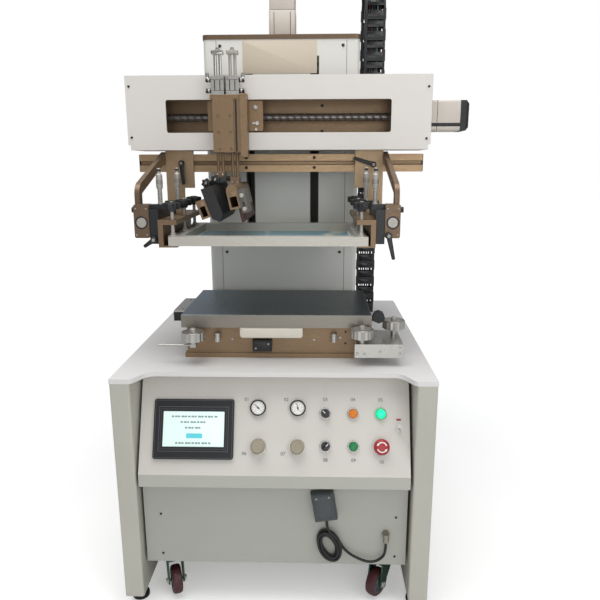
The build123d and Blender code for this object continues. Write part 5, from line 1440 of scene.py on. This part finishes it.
def add_mesh():
    """Stretched mesh with a pale border and a teal stencil field."""
    fabric = bpy.data.meshes.new("screen_fabric")
    solid = bmesh.new()
    bmesh.ops.create_grid(solid, x_segments=24, y_segments=18, size=0.5)
    bmesh.ops.scale(solid, verts=solid.verts, vec=(SCREEN_WIDTH * MM, SCREEN_DEPTH * MM, 1))
    bmesh.ops.translate(solid, verts=solid.verts, vec=at(*SCREEN_MIDDLE, MESH_Z))
    solid.to_mesh(fabric)
    solid.free()
    fabric.materials.append(mesh_cloth)
    cloth = add_object("screen_fabric", fabric)
    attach(cloth, "print_head")
    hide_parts("screen_mesh")
    screws = Shape()
    for x, y in MESH_SCREWS:
        screws.screw(upward(x, y, FRAME_TOP), 5, 1.2)
    screws.keep("screen_frame_screws", aluminium_deep, "bare_aluminium", "print_head")


add_mesh()


# Cable chain: side links with their pins along the fixed loop, and wires inside it
CHAIN_LEFT = 246.0
CHAIN_RIGHT = 305.0
CHAIN_FRONT_Y = 545.0
CHAIN_BACK_Y = 695.0
CHAIN_BEND = 75.0
CHAIN_TOP_Z = 1600.0
CHAIN_FRONT_END = 1402.0
CHAIN_BACK_END = 652.0
CHAIN_PITCH = 28.5
# Wires: name, X, depth off the links' middle, radius and finish
WIRES = (
    ("red", 259.0, -4.0, 2.6, wire_red),
    ("green", 266.5, 3.5, 2.4, wire_green),
    ("blue", 274.0, -3.0, 3.0, wire_blue),
    ("white", 282.5, 3.0, 2.6, wire_white),
    ("black", 291.0, -1.0, 4.2, cable_rubber),
)


def chain_places():
    """Middle of each link: up the front strand, over the bend and down the back strand."""
    places = []
    z = CHAIN_FRONT_END + CHAIN_PITCH / 2
    while z < CHAIN_TOP_Z:
        places.append((CHAIN_FRONT_Y, z, 90.0))
        z += CHAIN_PITCH
    count = round(math.pi * CHAIN_BEND / CHAIN_PITCH)
    for i in range(count):
        angle = math.pi * (1 - (i + 0.5) / count)
        y = CHAIN_FRONT_Y + CHAIN_BEND + CHAIN_BEND * math.cos(angle)
        places.append((y, CHAIN_TOP_Z + CHAIN_BEND * math.sin(angle), math.degrees(angle) - 90))
    z = CHAIN_TOP_Z - CHAIN_PITCH / 2
    while z > CHAIN_BACK_END:
        places.append((CHAIN_BACK_Y, z, 90.0))
        z -= CHAIN_PITCH
    return places


def add_chain():
    """Links, pins and crossbars of the cable chain with coloured wires between them."""
    links, bars, pins = Shape(), Shape(), Shape()
    for i, (y, z, slope) in enumerate(chain_places()):
        proud = 0.4 if i % 2 else 1.8
        for x, hand in ((CHAIN_LEFT, -1), (CHAIN_RIGHT, 1)):
            side = twisted(sideward(x, y, z, hand), slope * hand)
            links.plate(shifted(side, z=-0.5), 33.0, 25.0, 0.5 + proud, 5.0, 0.4)
            pins.disc(shifted(side, x=12.5, z=proud), 3.6, -0.2, 0.8, 0.3, 14)
        lean = math.radians(slope)
        out = (0, -math.sin(lean), math.cos(lean))
        for turn in (-1, 1):
            face = facing(at((CHAIN_LEFT + CHAIN_RIGHT) / 2, y, z), Vector(out) * turn)
            bars.plate(shifted(face, z=12.0), 47.0, 17.0, 2.6, 1.5, 0.5)
            bars.plate(shifted(face, z=14.2), 30.0, 5.0, 0.8, 1.0, 0.2)
    links.keep("chain_side_links", black_plastic, "black_plastic", "cabinet")
    bars.keep("chain_crossbars", black_gloss, "black_plastic", "cabinet")
    pins.keep("chain_pins", hub_grey, "black_plastic", "cabinet")
    for wire in WIRES:
        add_wire(*wire)


def add_wire(name, x, depth, radius, finish):
    """Run one wire up the front strand, round the bend and down the back strand."""
    solid = bmesh.new()
    bend = CHAIN_BEND + depth
    middle = (x, CHAIN_FRONT_Y + CHAIN_BEND, CHAIN_TOP_Z)
    foot = Matrix.Translation((x, middle[1] - bend, CHAIN_FRONT_END))
    bmesh.ops.create_circle(solid, cap_ends=True, radius=radius, segments=10, matrix=foot)
    turning = extruded(solid, solid.faces[:], CHAIN_TOP_Z - CHAIN_FRONT_END)
    turned = bmesh.ops.spin(
        solid, geom=turning, cent=middle, axis=(1, 0, 0), angle=-math.pi, steps=18
    )["geom_last"]
    last = [item for item in turned if isinstance(item, bmesh.types.BMFace)]
    extruded(solid, last, CHAIN_BACK_END - CHAIN_TOP_Z)
    bmesh.ops.delete(solid, geom=turning + last, context="FACES_ONLY")
    wire = Shape()
    wire.add(solid, Matrix.Translation(at(0, 0, 0)))
    wire.keep(f"chain_wire_{name}", finish, "black_rubber", "cabinet")


add_chain()


# Studio: floor, surround, lamps and camera
FLOOR_SIZE = 14.0
# The floor looks white from afar and keeps the shadow near the machine, by a glow that only
# the camera sees and that grows over these distances in metres
GLOW_START = 0.9
GLOW_END = 3.5
WORLD_STRENGTH = 0.4
LAMP_TARGET = at(0, 300, 800)
# Lamps: place, diameter in metres and power in watts
LAMPS = {
    "key_lamp": (at(1500, -1500, 2000), 1.6, 13.0),
    "front_lamp": (at(300, -2300, 1000), 1.6, 10.0),
    "top_lamp": (at(-200, -100, 3500), 2.8, 78.0),
}


def seen_directly(tree):
    """Share of the rays that come from the camera, straight or through something clear."""
    path = add_node(tree, "ShaderNodeLightPath").outputs
    rays = {0: path["Is Camera Ray"], 1: path["Is Transmission Ray"]}
    return add_node(tree, "ShaderNodeMath", rays, operation="MAXIMUM").outputs["Value"]


def add_floor():
    """Pale paper floor that shows the machine's shadow."""
    mesh = bpy.data.meshes.new("studio_floor")
    sheet = bmesh.new()
    bmesh.ops.create_grid(sheet, x_segments=1, y_segments=1, size=FLOOR_SIZE)
    sheet.to_mesh(mesh)
    sheet.free()
    floor = add_object("studio_floor", mesh)
    paper = Finish("studio_paper", "#F2F2F1", 0.0, 0.9, Emission_Color=linear("#FFFFFF"))
    paper.tint(paper.between(paper.grain(900), 0.0, 0.3), "#ECECEA")
    far = paper.maths("VectorMath", "LENGTH", paper.place)
    glow = paper.between(far, 0.3, 0.75, GLOW_START, GLOW_END)
    seen = paper.maths("Math", "MULTIPLY", seen_directly(paper.tree), glow)
    paper.tree.links.new(seen, paper.shader.inputs["Emission Strength"])
    mesh.materials.append(paper.material)


def add_world():
    """Even surround that the camera sees as white."""
    world = bpy.data.worlds.new("studio_world")
    world.use_nodes = True
    tree = world.node_tree
    around = tree.nodes["Background"]
    around.inputs["Color"].default_value = linear("#EEF0F3")
    around.inputs["Strength"].default_value = WORLD_STRENGTH
    white = add_node(tree, "ShaderNodeBackground", {"Color": linear("#FFFFFF"), "Strength": 1.0})
    shares = {0: seen_directly(tree), 1: around.outputs[0], 2: white.outputs[0]}
    mixed = add_node(tree, "ShaderNodeMixShader", shares)
    tree.links.new(mixed.outputs["Shader"], tree.nodes["World Output"].inputs["Surface"])
    bpy.context.scene.world = world


def add_lamps():
    """Three soft round lamps, all turned to the machine."""
    for name, (place, size, power) in LAMPS.items():
        light = bpy.data.lights.new(name, "AREA")
        light.shape = "DISK"
        light.size = size
        light.energy = power
        lamp = add_object(name, light)
        turn = (LAMP_TARGET - place).to_track_quat("-Z", "Y").to_matrix().to_4x4()
        lamp.matrix_world = Matrix.Translation(place) @ turn


add_floor()
add_world()
add_lamps()
add_camera()
bpy.context.scene.view_settings.view_transform = "Standard"
